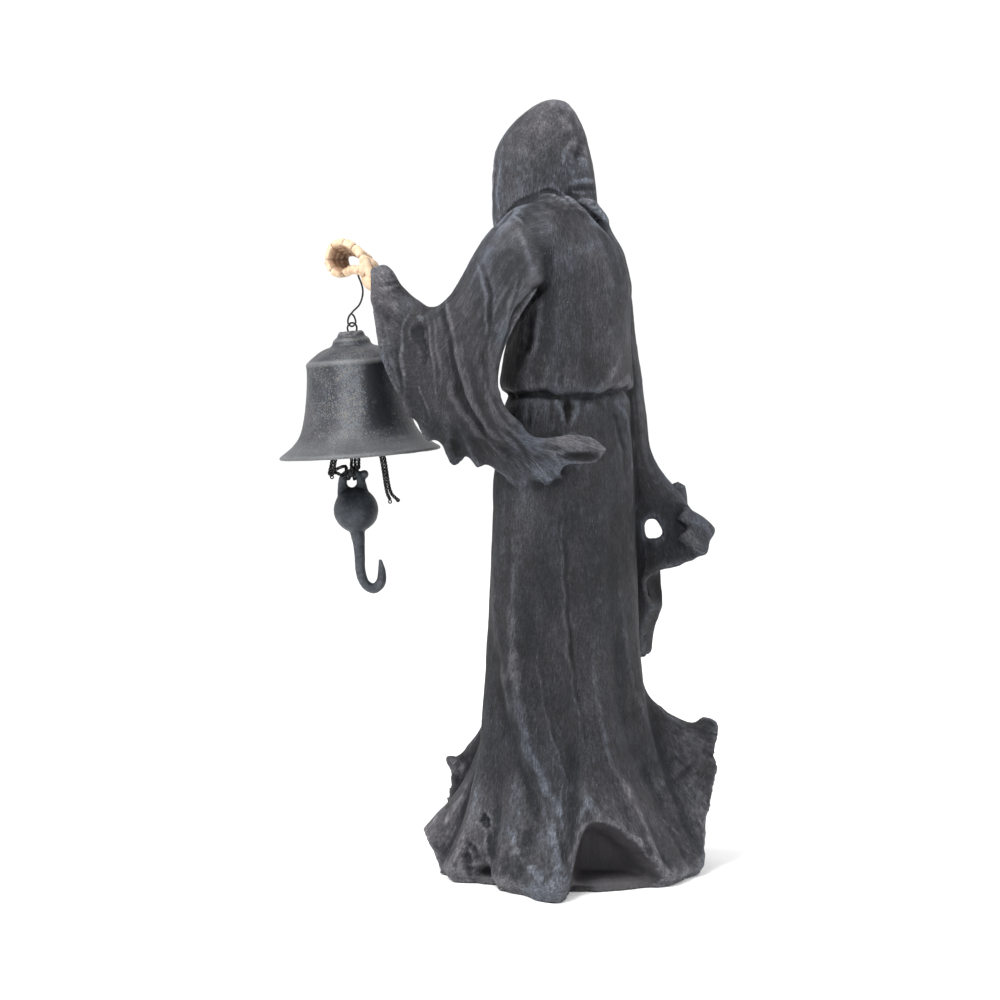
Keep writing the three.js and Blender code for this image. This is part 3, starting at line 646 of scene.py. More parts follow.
def robe_shape():
    """The robe's forms in one mesh, tears and sockets cut out, and the grain's coordinates on it."""
    whole, body_points, body_grain = body_shape()
    hood, hood_points, hood_grain = hood_shape()
    lefts, left_points, left_grain = sleeve_shape("left sleeve", left_sleeve)
    rights, right_points, right_grain = sleeve_shape("right sleeve", right_sleeve)
    for name, outline, middle, farther in (
        ("under the tail", under_tail_outline, (24.5, 34, 216), 12),
        ("over the tail", over_tail_outline, (33, 24, 228), 5),
        ("tail cup", tail_cup_outline, (24.5, 34, 216), -1.2),
    ):
        joined_to(lefts, seen_prism(name, outline, middle, 24, farther), "DIFFERENCE")
    collar_rings = tube_rings(collar_line, collar_radii, 90, 48)
    collar_cloth = collar_rings * [0.2, 0.2, 1] + [collar_grain_start, 0, 0]
    collar, collar_points, collar_grain = closed_loft("collar", collar_rings, collar_cloth)
    nub = lofted_bar(*robe_nub, 24, 36)
    bars = [lofted_bar(line, radii, 30, 32) for line, radii in robe_bars.values()]
    for part in (hood, collar, lefts, rights, nub, *bars):
        joined_to(whole, part, "UNION")
    joined_to(whole, seen_prism("tear", tear_outline, (-54, 14.9, 176.7), 50, 45), "DIFFERENCE")
    joined_to(whole, hood_hollow(), "DIFFERENCE")
    for line, radius in robe_sockets:
        joined_to(whole, lofted_bar(line, [radius] * 3, 16, 32), "DIFFERENCE")
    points = np.vstack([body_points, hood_points, left_points, right_points, collar_points])
    grain = np.vstack([body_grain, hood_grain, left_grain, right_grain, collar_grain])
    return whole, points, grain


def mesh_arrays(made):
    mesh = made.data
    points = np.empty(len(mesh.vertices) * 3)
    mesh.vertices.foreach_get("co", points)
    edges = np.empty(len(mesh.edges) * 2, int)
    mesh.edges.foreach_get("vertices", edges)
    normals = np.empty(len(mesh.vertices) * 3)
    mesh.vertex_normals.foreach_get("vector", normals)
    return points.reshape(-1, 3) / mm, edges.reshape(-1, 2), normals.reshape(-1, 3)


def place_points(made, points):
    made.data.vertices.foreach_set("co", (points * mm).astype(np.float32).ravel())
    made.data.update()


def smooth_shaded(made):
    for face in made.data.polygons:
        face.use_smooth = True


def keep_values(made, name, values):
    """Keeps one number for each point of a mesh, under a name that its paint asks for."""
    made.data.attributes.new(name, "FLOAT", "POINT").data.foreach_set("value", values.astype(np.float32))


def soft_noise(points, waves):
    """Sum of soft noise at each point; a wave is its length, or three lengths, and its height."""
    return np.array([
        sum(height * noise.noise(Vector(point / length)) for length, height in waves) for point in points
    ])


def relaxed(values, edges, rounds):
    """Each value drawn towards the mean of its neighbours on the mesh."""
    flat = values.reshape(len(values), -1)
    count = np.maximum(np.bincount(edges.ravel(), minlength=len(flat)), 1)[:, None]
    for _ in range(rounds):
        total = np.stack([
            np.bincount(edges[:, 0], flat[edges[:, 1], column], len(flat))
            + np.bincount(edges[:, 1], flat[edges[:, 0], column], len(flat))
            for column in range(flat.shape[1])
        ], -1)
        flat = lerp(flat, total / count, 0.5)
    return flat.reshape(values.shape)


def remeshed(made, size):
    skin = made.modifiers.new("skin", "REMESH")
    skin.mode = "VOXEL"
    skin.voxel_size = size * mm
    bpy.context.view_layer.objects.active = made
    bpy.ops.object.modifier_apply(modifier=skin.name)


def without_crumbs(made):
    """Keeps the largest shell of a mesh, and deletes the crumbs that a remesh leaves floating beside it."""
    shell = bmesh.new()
    shell.from_mesh(made.data)
    shell.verts.ensure_lookup_table()
    visited = np.zeros(len(shell.verts), bool)
    groups = []
    for first in shell.verts:
        if visited[first.index]:
            continue
        visited[first.index] = True
        group = [first]
        for point in group:
            for edge in point.link_edges:
                other = edge.other_vert(point)
                if not visited[other.index]:
                    visited[other.index] = True
                    group.append(other)
        groups.append(group)
    largest = max(groups, key=len)
    crumbs = [point for group in groups if group is not largest for point in group]
    bmesh.ops.delete(shell, geom=crumbs, context="VERTS")
    shell.to_mesh(made.data)
    shell.free()


def in_picture(points):
    """Where points fall in the camera's picture, in thousandths of its width from its top left corner."""
    ray = points * mm - seen_from
    depth = ray @ forward
    across = picture_middle + picture_width * lens_over_sensor * (ray @ rightward) / depth
    down = picture_middle - picture_width * lens_over_sensor * (ray @ upward) / depth
    return np.stack([across, down], -1)


def seen_by_camera(made, points, normals, edges):
    """1 where a point of the mesh can be seen from the camera, 0 where it can't, with soft borders."""
    tree = BVHTree.FromObject(made, bpy.context.evaluated_depsgraph_get())
    eye = Vector(seen_from)
    seen = np.zeros(len(points))
    facing = np.sum(normals * (seen_from - points * mm), axis=1)
    for index in np.nonzero(facing > 0)[0]:
        start = Vector((points[index] + normals[index] * 0.8) * mm)
        if tree.ray_cast(start, eye - start)[0] is None:
            seen[index] = 1
    towards = facing / np.linalg.norm(seen_from - points * mm, axis=1)
    return relaxed(seen, edges, 2) * smooth_step(0.02, 0.3, towards)


def thinned(made, spare, triangles):
    """Fewer and larger faces where a mesh is out of sight, until it has a given number of triangles."""
    group = made.vertex_groups.new(name="spare")
    group.add(np.nonzero(spare)[0].tolist(), 1.0, "REPLACE")
    fewer = made.modifiers.new("fewer faces", "DECIMATE")
    fewer.ratio = min(1, triangles / sum(len(face.vertices) - 2 for face in made.data.polygons))
    fewer.vertex_group = group.name
    bpy.context.view_layer.objects.active = made
    bpy.ops.object.modifier_apply(modifier=fewer.name)
    made.vertex_groups.clear()


def stroke(place, width, depth, lip, line):
    """Height that a modelled line adds at places in the picture: groove or ridge, and a lip on its right."""
    path = through(np.array(line, float), np.linspace(0, 1, 7 * len(line)))
    across, down = place[:, 0], place[:, 1]
    sideways = np.sin(down / 6.1 + 1.3 * np.sin(across / 11))
    up_and_down = np.sin(across / 7.3 + np.sin(down / 9))
    place = place + np.stack([sideways, up_and_down], -1) * min(0.8, 1.6 / width)
    near = np.all((place > path.min(0) - 5 * width) & (place < path.max(0) + 5 * width), axis=1)
    height = np.zeros(len(place))
    spot = place[near]
    if len(spot) == 0:
        return height
    best = np.full(len(spot), 1e9)
    side = np.zeros(len(spot))
    along = np.zeros(len(spot))
    for index, (start, end) in enumerate(zip(path[:-1], path[1:])):
        run = end - start
        share = np.clip((spot - start) @ run / max(run @ run, 1e-9), 0, 1)
        gap = spot - (start + share[:, None] * run)
        distance = np.hypot(gap[:, 0], gap[:, 1])
        closer = distance < best
        best[closer] = distance[closer]
        side[closer] = np.sign(run[0] * gap[closer, 1] - run[1] * gap[closer, 0]) * distance[closer]
        along[closer] = (index + share[closer]) / (len(path) - 1)
    taper = np.sin(math.pi * np.clip(along, 0.02, 0.98)) ** 0.8
    taper = taper * (1 + 0.16 * np.sin(along * 17 + line[0][0]) + 0.12 * np.sin(along * 37 + line[0][1]))
    width = width * (0.6 + 0.45 * taper)
    lip_shape = np.exp(-(((side - 1.8 * width) / (1.1 * width)) ** 2))
    height[near] = (depth * np.exp(-((best / width) ** 1.6)) + lip * lip_shape) * taper
    return height


# Lines modelled in the clay, as drawn in the picture: half width, height (a groove is below zero), height of
# the lip along its right as the line runs, and points in thousandths of the picture's width
robe_strokes = {
    "deep sleeve crease": (
        3.2, -3.2, 1.0,
        [(446, 325), (452, 358), (458, 387), (468, 410), (482, 432), (490, 446)],
    ),
    "ridge right of it": (3.0, 2.0, 0, [(453, 338), (462, 371), (472, 401), (492, 432), (508, 446)]),
    "pocket rim": (1.7, 1.6, 0, [(412, 309), (404, 326), (402, 348), (404, 381), (407, 404)]),
    "pocket inner rim": (2.0, 1.3, 0, [(415, 318), (409, 332), (411, 344)]),
    "pocket swell": (3.6, 1.5, 0, [(418, 314), (421, 318), (424, 323)]),
    "pocket shadow": (3.6, -2.2, 0, [(420, 324), (420, 336), (423, 350), (424, 368)]),
    "first pleat": (1.5, 1.3, -0.5, [(426, 311), (430, 335), (434, 366), (437, 404)]),
    "second pleat": (1.4, 1.1, 0, [(432, 310), (436, 335), (440, 366), (443, 398)]),
    "valley between pleats": (2.2, -1.3, 0, [(440, 308), (444, 340), (449, 372), (459, 402), (472, 428)]),
    "elbow ridge": (1.7, 1.6, 0, [(446, 300), (451, 316), (453, 338)]),
    "elbow notch": (2.0, -1.4, 0, [(441, 299), (444, 318), (446, 334)]),
    "outer fold": (2.4, 0.9, 0, [(383, 318), (390, 350), (399, 385), (410, 415)]),
    "outer hollow": (3.0, -0.9, 0, [(394, 322), (396, 352), (402, 388), (414, 418)]),
    "thin line on the cuff": (1.3, 0.7, 0, [(377, 290), (380, 330), (388, 372), (398, 402)]),
    "thin line beside it": (1.3, -0.6, 0, [(388, 300), (390, 340), (395, 378)]),
    "thin line in the sleeve": (1.3, 0.8, -0.5, [(457, 330), (464, 362), (474, 396), (488, 424)]),
    "low pleat": (1.5, 1.0, -0.6, [(418, 380), (424, 402), (434, 424)]),
    "low fold": (1.8, 1.0, -0.5, [(470, 420), (486, 440), (504, 456)]),
    "shoulder seam": (1.8, -1.6, 0.9, [(478, 261), (485, 275), (489, 293), (490, 312), (488, 345)]),
    "upper sleeve line": (1.6, -0.6, 0.4, [(525, 268), (515, 298), (509, 322)]),
    "right edge line": (1.5, 0.9, 0, [(488, 318), (492, 362), (503, 402), (525, 432)]),
    "right edge hollow": (2.4, -0.8, 0, [(480, 330), (484, 365), (496, 404), (516, 434)]),
    "armpit crease": (3.2, -3.4, 0, [(550, 282), (536, 292), (524, 304), (513, 324), (505, 350)]),
    "tail ridge": (1.5, 0.9, 0, [(534, 438.5), (556, 438), (578, 437), (590, 441), (602, 447)]),
    "tail hollow": (2.6, -1.8, 0, [(496, 446), (506, 452), (511, 460)]),
    "tail cup": (1.4, -1.1, 0, [(572, 442), (578, 439.5), (584, 441), (590, 444)]),
    "tail tear": (1.8, -2.0, 1.4, [(536, 443), (546, 446), (556, 449.5), (566, 451)]),
    "lower lobe rim": (
        1.6, 1.5, 0,
        [(537, 449), (548, 453), (556, 459), (559, 467), (555, 474), (543, 477)],
    ),
    "lower lobe hollow": (3.0, -1.5, 0, [(533, 456), (543, 461), (549, 468)]),
    "tail crease": (2.2, -1.2, 0.6, [(500, 426), (512, 437), (524, 452), (532, 466)]),
    "lobe hollow": (3.4, -2.0, 0, [(452, 438), (456, 449), (459, 460)]),
    "cuff layer": (1.8, -1.6, 1.2, [(374, 287), (386, 285), (398, 282)]),
    "short collar slit": (1.5, -2.2, 0.9, [(537, 193), (545, 191), (555, 193), (569, 201)]),
    "long collar slit": (2.4, -4.6, 1.4, [(565, 192), (575, 196), (586, 205), (597, 219), (608, 234)]),
    "collar band": (3.4, 1.2, 0, [(578, 191), (590, 199), (600, 212), (608, 226)]),
    "collar valley": (2.6, -1.4, 0, [(566, 190), (580, 187), (598, 189)]),
    "nape ridge": (1.8, 1.6, 0, [(569, 184), (580, 181), (596, 182)]),
    "hood seam on the shoulder": (
        1.9, -1.7, 0,
        [(492, 236), (501, 222), (512, 209), (524, 200), (538, 193)],
    ),
    "small shoulder fold": (1.7, -0.9, 0.7, [(512, 214), (522, 218), (526, 226)]),
    "rim seam": (1.2, -0.7, 0.5, [(505, 150), (502, 172), (501, 196), (501, 220)]),
    "rim edge line": (1.2, -0.5, 0.4, [(497, 165), (494, 192), (494, 222)]),
    "hood dent": (4.0, -1.6, 0, [(584, 134), (580, 148), (577, 160), (574, 172)]),
    "hood dent's left lip": (2.4, 0.9, 0, [(572, 140), (566, 152), (563, 168)]),
    "hood top swell": (6.0, 0.9, 0, [(556, 112), (566, 124), (572, 136)]),
    "torso fold under the arm": (4.0, -1.6, 0, [(532, 305), (528, 338), (515, 374)]),
    "lit fold beside it": (4.0, 1.0, 0, [(541, 296), (538, 330), (528, 372)]),
    "blouse fold": (3.0, 0.7, 0, [(545, 350), (546, 370), (543, 390)]),
    "blouse hollow": (2.6, -0.7, 0, [(560, 345), (562, 368), (561, 390)]),
    "blouse fold at right": (2.4, 1.0, 0, [(622, 350), (616, 366), (606, 382), (600, 390)]),
    "blouse knob": (3.4, 1.4, 0, [(629, 372), (624, 381), (618, 388)]),
    "pleat notch": (4.2, -3.0, 0, [(566, 396), (567, 405), (568, 414), (569, 428)]),
    "pleat notch left lip": (2.8, 1.8, 0, [(554, 396), (558, 406), (563, 416), (567, 428)]),
    "pleat notch right lip": (2.4, 1.5, 0, [(577, 396), (577, 406), (575, 416), (571, 428)]),
    "right skirt pleat": (2.0, 1.2, 0, [(613, 398), (625, 416), (631, 445), (633, 485), (633, 520)]),
    "right skirt hollow": (2.0, -1.1, 0, [(607, 400), (617, 420), (624, 450), (627, 490)]),
    "left skirt edge": (3.6, 1.0, 0, [(498, 480), (497, 560), (496, 640), (492, 700)]),
    "left skirt hollow": (3.4, -0.8, 0, [(508, 480), (508, 560), (506, 640)]),
    "first skirt ridge": (
        9.0, 2.2, 0,
        [(506, 570), (512, 650), (520, 708), (534, 760), (549, 792), (564, 820)],
    ),
    "first skirt hollow": (8.0, -2.0, 0, [(496, 620), (501, 690), (514, 748), (530, 798), (546, 840)]),
    "middle skirt crease": (2.0, -0.9, 0.4, [(564, 470), (567, 590), (574, 670), (590, 760)]),
    "second skirt ridge": (
        7.0, 1.8, 0,
        [(588, 620), (597, 700), (610, 762), (626, 792), (640, 820), (658, 852)],
    ),
    "second skirt hollow": (9.0, -2.0, 0, [(614, 640), (624, 716), (642, 764), (664, 800), (686, 838)]),
    "wing ridge": (3.6, 1.2, 0, [(640, 640), (650, 680), (664, 712), (690, 728)]),
    "wing hollow": (13.0, -1.6, 0, [(672, 752), (690, 772), (708, 790)]),
    "hem slit": (1.8, -2.2, 1.0, [(487, 829), (490, 842), (490, 852), (491, 862)]),
    "hem hole": (3.2, -3.4, 0, [(484, 812), (485, 820), (486, 829)]),
    "left foot fold": (3.4, 1.8, 0, [(475, 770), (468, 790), (456, 808), (443, 826)]),
    "left foot hollow": (4.0, -2.2, 0, [(466, 842), (468, 860), (470, 880)]),
    "horn fold": (2.6, 1.6, 0, [(466, 842), (458, 854), (448, 868)]),
    "right foot fold": (9.0, 2.4, 0, [(510, 830), (524, 860), (545, 884)]),
    "flap's edge": (2.0, -1.8, 1.2, [(465, 842), (474, 850), (478, 862)]),
    "fine line right of the arch": (1.3, 0.6, 0, [(657, 814), (670, 826), (686, 839)]),
    "left panel": (1.8, -1.2, 0, [(531, 404), (529, 416), (528, 434)]),
    "second panel": (1.8, -1.0, 0, [(551, 404), (551, 418), (550, 432)]),
    "thin skirt line": (1.6, -0.6, 0.4, [(538, 640), (546, 700), (560, 752), (574, 790)]),
    "left skirt fold": (5.0, 1.6, 0, [(494, 560), (500, 640), (508, 700), (512, 760)]),
    "broad skirt hollow": (12.0, -1.4, 0, [(546, 560), (552, 660), (566, 740), (586, 790)]),
    "right skirt swell": (6.0, 1.4, 0, [(616, 540), (622, 620), (634, 690), (656, 740)]),
    "arch side hollow": (3.4, -1.6, 0, [(556, 815), (560, 838), (566, 858), (574, 876)]),
}

robe, loft_points, loft_grain = robe_shape()
robe.name = "robe"
remeshed(robe, robe_voxel)
without_crumbs(robe)
points, edges, normals = mesh_arrays(robe)
out_of_sight = seen_by_camera(robe, points, normals, edges) < 0.05
thinned(robe, out_of_sight, robe_triangles)
points, edges, normals = mesh_arrays(robe)
points = relaxed(points, edges, 5)
place_points(robe, points)
points, edges, normals = mesh_arrays(robe)

# Where the sleeves run into the shoulders and the arm bends, the seams are smoothed away: middle, reach
smoothed_joins = [
    ((24, 2, 334), 20),
    ((50.5, -50, 297), 9),
    ((-24, 0, 326), 16),
    ((50, -68, 300), 10),
    ((-14, 10, 328), 9),
]
softer = relaxed(points, edges, 80)
for middle, reach in smoothed_joins:
    share = np.exp(-(np.linalg.norm(points - middle, axis=1) / reach) ** 4)
    points = lerp(points, softer, share[:, None])
left_shoulder = (32, 0, 322)
off_shoulder = smooth_step(20, 38, np.linalg.norm(points - left_shoulder, axis=1))
low = relaxed(points, edges, 20)
share = smooth_step(0.6, 2.5, points[:, 2]) * (1 - smooth_step(11, 16, points[:, 2]))
share = share * (np.hypot(points[:, 0], points[:, 1]) > 58)
points = lerp(points, low, share[:, None])
place_points(robe, points)
points, edges, normals = mesh_arrays(robe)

seen = seen_by_camera(robe, points, normals, edges)
picture = in_picture(points)
modelled = np.zeros(len(points))
for modelled_line in robe_strokes.values():
    modelled += stroke(picture, *modelled_line)
modelled = relaxed(modelled, edges, 2) * seen

tree = KDTree(len(loft_points))
for index, point in enumerate(loft_points):
    tree.insert(point, index)
tree.balance()
grain = np.empty_like(points)
for index, point in enumerate(points):
    found = tree.find_n(point, 3)
    weights = np.array([1 / (item[2] + 0.2) for item in found])
    known = loft_grain[[item[1] for item in found]]
    if np.ptp(known, axis=0).max() > 12:
        grain[index] = known[0]
    else:
        grain[index] = weights @ known / weights.sum()

on_body = grain[:, 0] < 100
on_sleeves = (grain[:, 0] > 500) * (grain[:, 0] < 1100)
lumps = soft_noise(points, ((15.0, 0.5), (4.5, 0.16)))
folds = soft_noise(grain, ((np.array([9, 9, 90]), 0.36), (np.array([3, 3, 40]), 0.10)))
skirt_rim = smooth_step(skirt_fall - 10, skirt_fall, grain[:, 2]) * on_body
skirt_rim = skirt_rim * smooth_step(9, 16, points[:, 2])
frayed = soft_noise(points, ((11.0, 3.0), (5.5, 0.5)))
above_floor = smooth_step(0.5, 5, points[:, 2])
raised = (modelled + lumps + folds * lerp(0.15, 1, off_shoulder)) * above_floor
points = points + normals * raised[:, None]
outwards = np.stack([points[:, 0], points[:, 1], 0 * points[:, 2]], -1)
outwards /= np.maximum(np.linalg.norm(outwards, axis=1), 1)[:, None]
points = points + outwards * (frayed * skirt_rim)[:, None]
points[:, 2] += frayed * skirt_rim * 0.8
sleeve_rim = smooth_step(sleeve_length - 14, sleeve_length - 4, grain[:, 2]) * on_sleeves
rims = np.maximum(skirt_rim, sleeve_rim)
points = lerp(points, relaxed(points, edges, 14), rims[:, None])
points[:, 2] = np.maximum(points[:, 2], 0)
place_points(robe, points)


def add_relief(made, scales):
    """Keeps, for each scale, how far points stand above (up to 1) or lie below (to -1) what is near."""
    points, edges, normals = mesh_arrays(made)
    for name, rounds, full in scales:
        smoothed = relaxed(points, edges, rounds)
        relief = np.sum((points - smoothed) * normals, axis=1)
        keep_values(made, name, np.clip(relief / full, -1, 1))


add_relief(robe, (("fine relief", 4, 0.11), ("relief", 44, 0.9)))
# Underside of the lifted hem, where its paint puts painted light
lifted = smooth_step(10, 17, hem_height(np.degrees(np.arctan2(points[:, 1], points[:, 0]))))
under = smooth_step(skirt_fall + 1, skirt_fall + 4, grain[:, 2]) * on_body * lifted
# Places in the picture painted darker (a share below zero) or lighter: painted shade in hollows such as the
# tail cup, the armpit and the pleat notch, painted light on lit faces such as the tail, and elsewhere
# lighter dry
# brushing and darker tone: middle across and down, half width and half height in thousandths of the
# picture's width, and share
robe_painted_shade_light_and_washes = {
    "tail cup": (583, 457, 18, 5.5, -1.0),
    "sleeve flap": (453, 447, 8, 17, -0.7),
    "armpit": (540, 289, 10, 8, -0.7),
    "pleat notch": (568, 408, 4, 11, -0.9),
    "torn strip": (656, 600, 10, 66, -0.45),
    "under the arm": (529, 330, 12, 50, -0.3),
    "middle of the back": (572, 330, 18, 70, -0.28),
    "middle of the hood": (548, 150, 20, 26, -0.2),
    "left of the skirt": (504, 640, 12, 90, -0.2),
    "tail": (566, 442, 32, 5, 1.0),
    "lower lobe": (540, 466, 16, 9, 0.5),
    "skirt under the tail": (524, 500, 10, 32, 0.55),
    "skirt streak": (512, 640, 4, 66, 0.4),
    "right flap": (700, 530, 16, 16, 0.6),
    "wing top": (690, 742, 26, 12, 0.4),
    "wing corner": (700, 800, 18, 50, 0.3),
    "cuff grain": (383, 289, 8, 12, 0.45),
    "hood edge": (500, 180, 4, 44, 0.35),
    "shoulder": (524, 232, 28, 14, 0.3),
    "right of the blouse": (618, 350, 10, 44, 0.35),
    "left foot": (440, 826, 22, 26, 0.4),
    "low sleeve": (440, 400, 34, 30, 0.3),
}
picture = in_picture(points)
shaded_and_washed = np.zeros(len(points))
for middle_x, middle_y, half_width, half_height, share in robe_painted_shade_light_and_washes.values():
    distance = np.hypot((picture[:, 0] - middle_x) / half_width, (picture[:, 1] - middle_y) / half_height)
    shaded_and_washed += share * np.exp(-(distance**2.6)) * seen
keep_values(robe, "shaded_and_washed", shaded_and_washed)
keep_values(robe, "under", under)
# Lighter on the back of the left sleeve near its hem
lighter_sleeve_back = smooth_step(105, 145, grain[:, 2]) * smooth_step(685, 735, grain[:, 0]) * (grain[:, 0] < 790)
keep_values(robe, "lighter_sleeve_back", lighter_sleeve_back)
cloth = robe.data.attributes.new("cloth", "FLOAT_VECTOR", "POINT")
cloth.data.foreach_set("vector", (grain * mm).astype(np.float32).ravel())
smooth_shaded(robe)


def put(tree, socket, value):
    if isinstance(value, bpy.types.NodeSocket):
        tree.links.new(value, socket)
    elif isinstance(value, tuple) and len(value) == 3 and socket.type == "RGBA":
        socket.default_value = (*value, 1)
    else:
        socket.default_value = value


def put_all(tree, node, values):
    for name, value in values.items():
        put(tree, node.inputs[name], value)


def figured(tree, operation, first, second, clamped=False):
    made = tree.nodes.new("ShaderNodeMath")
    made.operation = operation
    made.use_clamp = clamped
    put(tree, made.inputs[0], first)
    put(tree, made.inputs[1], second)
    return made.outputs[0]


def times(tree, first, second):
    return figured(tree, "MULTIPLY", first, second)


def plus(tree, first, second):
    return figured(tree, "ADD", first, second)


def minus(tree, first, second):
    return figured(tree, "SUBTRACT", first, second)


def between(tree, value, low, high, start=0.0, end=1.0):
    made = tree.nodes.new("ShaderNodeMapRange")
    made.interpolation_type = "SMOOTHSTEP"
    for index, item in enumerate((value, low, high, start, end)):
        put(tree, made.inputs[index], item)
    return made.outputs[0]


def blended(tree, share, under, over, kind="MIX"):
    made = tree.nodes.new("ShaderNodeMix")
    made.data_type = "RGBA"
    made.blend_type = kind
    put(tree, made.inputs[0], share)
    put(tree, made.inputs[6], under)
    put(tree, made.inputs[7], over)
    return made.outputs[2]


def speckle(tree, vector, scale, detail=3.0, roughness=0.55, distortion=0.0):
    made = tree.nodes.new("ShaderNodeTexNoise")
    put(tree, made.inputs["Vector"], vector)
    put_all(tree, made, {"Scale": scale, "Detail": detail, "Roughness": roughness, "Distortion": distortion})
    return made.outputs["Fac"]


def stretched(tree, vector, factors):
    made = tree.nodes.new("ShaderNodeMapping")
    put(tree, made.inputs["Vector"], vector)
    made.inputs["Scale"].default_value = factors
    return made.outputs[0]


def attribute(tree, name, output):
    made = tree.nodes.new("ShaderNodeAttribute")
    made.attribute_name = name
    return made.outputs[output]


def new_group(name, inputs, outputs):
    group = bpy.data.node_groups.new(name, "ShaderNodeTree")
    for title, kind, value in inputs:
        socket = group.interface.new_socket(title, in_out="INPUT", socket_type=kind)
        if value is not None:
            socket.default_value = value
    for title, kind in outputs:
        group.interface.new_socket(title, in_out="OUTPUT", socket_type=kind)
    return group, group.nodes.new("NodeGroupInput").outputs, group.nodes.new("NodeGroupOutput").inputs


def group_mask(tree, group, **values):
    made = tree.nodes.new("ShaderNodeGroup")
    made.node_tree = group
    put_all(tree, made, values)
    return made.outputs["Mask"]


def grain_between(tree, grain, low, high, dark, light):
    """Colour that goes from dark to light as a grain goes from low to high."""
    return blended(tree, between(tree, grain, low, high), dark, light)


def object_place(tree):
    return tree.nodes.new("ShaderNodeTexCoord").outputs["Object"]


def new_paint(name):
    paint = bpy.data.materials.new(name)
    paint.use_nodes = True
    tree = paint.node_tree
    return paint, tree, tree.nodes["Principled BSDF"]


def bumped(tree, shader, height, strength, distance):
    made = tree.nodes.new("ShaderNodeBump")
    made.inputs["Strength"].default_value = strength
    made.inputs["Distance"].default_value = distance
    put(tree, made.inputs["Height"], height)
    tree.links.new(made.outputs[0], shader.inputs["Normal"])


# Small pale specks: specks of paint on the robe, and painted glints on the chain
flecks_and_glints, given, result = new_group(
    "flecks_and_glints",
    [
        ("Vector", "NodeSocketVector", None),
        ("Scale", "NodeSocketFloat", 900.0),
        ("Amount", "NodeSocketFloat", 0.3),
    ],
    [("Mask", "NodeSocketFloat")],
)
spots = speckle(flecks_and_glints, given["Vector"], given["Scale"], 1.0, 0.4)
limit = minus(flecks_and_glints, 0.86, times(flecks_and_glints, given["Amount"], 0.3))
put(flecks_and_glints, result["Mask"], between(flecks_and_glints, spots, limit, plus(flecks_and_glints, limit, 0.04)))

robe_paint, tree, shader = new_paint("dry-brushed robe")
cloth = attribute(tree, "cloth", "Vector")
relief = attribute(tree, "relief", "Fac")
fine_relief = attribute(tree, "fine relief", "Fac")
place = object_place(tree)
hair = speckle(tree, stretched(tree, cloth, (1, 1, 0.12)), 1700.0, 3.0, 0.7, 0.2)
strokes = speckle(tree, stretched(tree, cloth, (1, 1, 0.12)), 800.0, 3.0, 0.65, 0.4)
clouds = speckle(tree, stretched(tree, place, (1, 1, 0.5)), 30.0, 4.0, 0.6, 0.5)
shades = speckle(tree, stretched(tree, place, (1, 1, 0.6)), 80.0, 3.0, 0.6, 0.2)
grit = speckle(tree, place, 1500.0, 2.0, 0.6)
tints = between(tree, speckle(tree, place, 22.0, 2.0), 0.4, 0.6)
# Charcoal paint in uneven shades, and painted shade that makes it almost black where the surface lies low
charcoal = grain_between(tree, clouds, 0.34, 0.68, (0.0145, 0.0155, 0.0185), (0.036, 0.0345, 0.038))
shade = blended(tree, tints, (0.038, 0.043, 0.053), (0.048, 0.043, 0.049))
charcoal = blended(tree, between(tree, shades, 0.45, 0.75, 0.0, 0.55), charcoal, shade)
charcoal = blended(tree, between(tree, relief, 0.0, -0.55, 0.0, 0.92), charcoal, (0.006, 0.0065, 0.009))
# Dry-brushed tone on crests and in short dashes, lighter on the back of the left sleeve near its hem, and
# dry brushing with painted light at the lightened places in the table of painted shade and light
high_crest = between(tree, relief, 0.12, 0.9, 0.0, 0.5)
fine_crest = between(tree, fine_relief, 0.15, 0.9, 0.0, 0.34)
crest = times(tree, plus(tree, high_crest, fine_crest), between(tree, hair, 0.35, 0.6, 0.45, 1.0))
dashes = times(tree, between(tree, hair, 0.52, 0.72), between(tree, shades, 0.4, 0.62, 0.16, 0.5))
soft = times(tree, between(tree, strokes, 0.45, 0.75), 0.10)
lighter_sleeve_back_share = times(tree, attribute(tree, "lighter_sleeve_back", "Fac"), between(tree, strokes, 0.3, 0.65, 0.06, 0.42))
shade_and_wash_share = attribute(tree, "shaded_and_washed", "Fac")
brushed_and_painted_light = between(tree, shade_and_wash_share, 0.0, 1.0, 0.0, 0.75)
brushed_and_painted_light = times(tree, brushed_and_painted_light, between(tree, strokes, 0.32, 0.66, 0.3, 1.0))
amount = plus(tree, times(tree, crest, 0.72), times(tree, dashes, 0.62))
amount = plus(tree, plus(tree, amount, lighter_sleeve_back_share), brushed_and_painted_light)
amount = figured(tree, "ADD", amount, soft, clamped=True)
tone = blended(tree, tints, (0.120, 0.134, 0.160), (0.136, 0.130, 0.140))
painted = blended(tree, amount, charcoal, tone)
# Light and dark grain of threads and weave, and larger patches
threads = speckle(tree, stretched(tree, cloth, (1, 1, 0.2)), 1300.0, 2.0, 0.8, 0.3)
weave = speckle(tree, stretched(tree, cloth, (1, 1, 0.6)), 1000.0, 3.0, 0.85, 0.2)
patches = speckle(tree, stretched(tree, place, (1, 1, 0.35)), 120.0, 4.0, 0.65, 0.6)
for grain_node, low, high, dark, light in (
    (threads, 0.3, 0.7, (0.7, 0.7, 0.7), (1.28, 1.28, 1.28)),
    (weave, 0.36, 0.64, (0.7, 0.7, 0.7), (1.34, 1.34, 1.35)),
    (patches, 0.36, 0.64, (0.84, 0.84, 0.85), (1.16, 1.17, 1.18)),
):
    toned = grain_between(tree, grain_node, low, high, dark, light)
    painted = blended(tree, 1.0, painted, toned, "MULTIPLY")
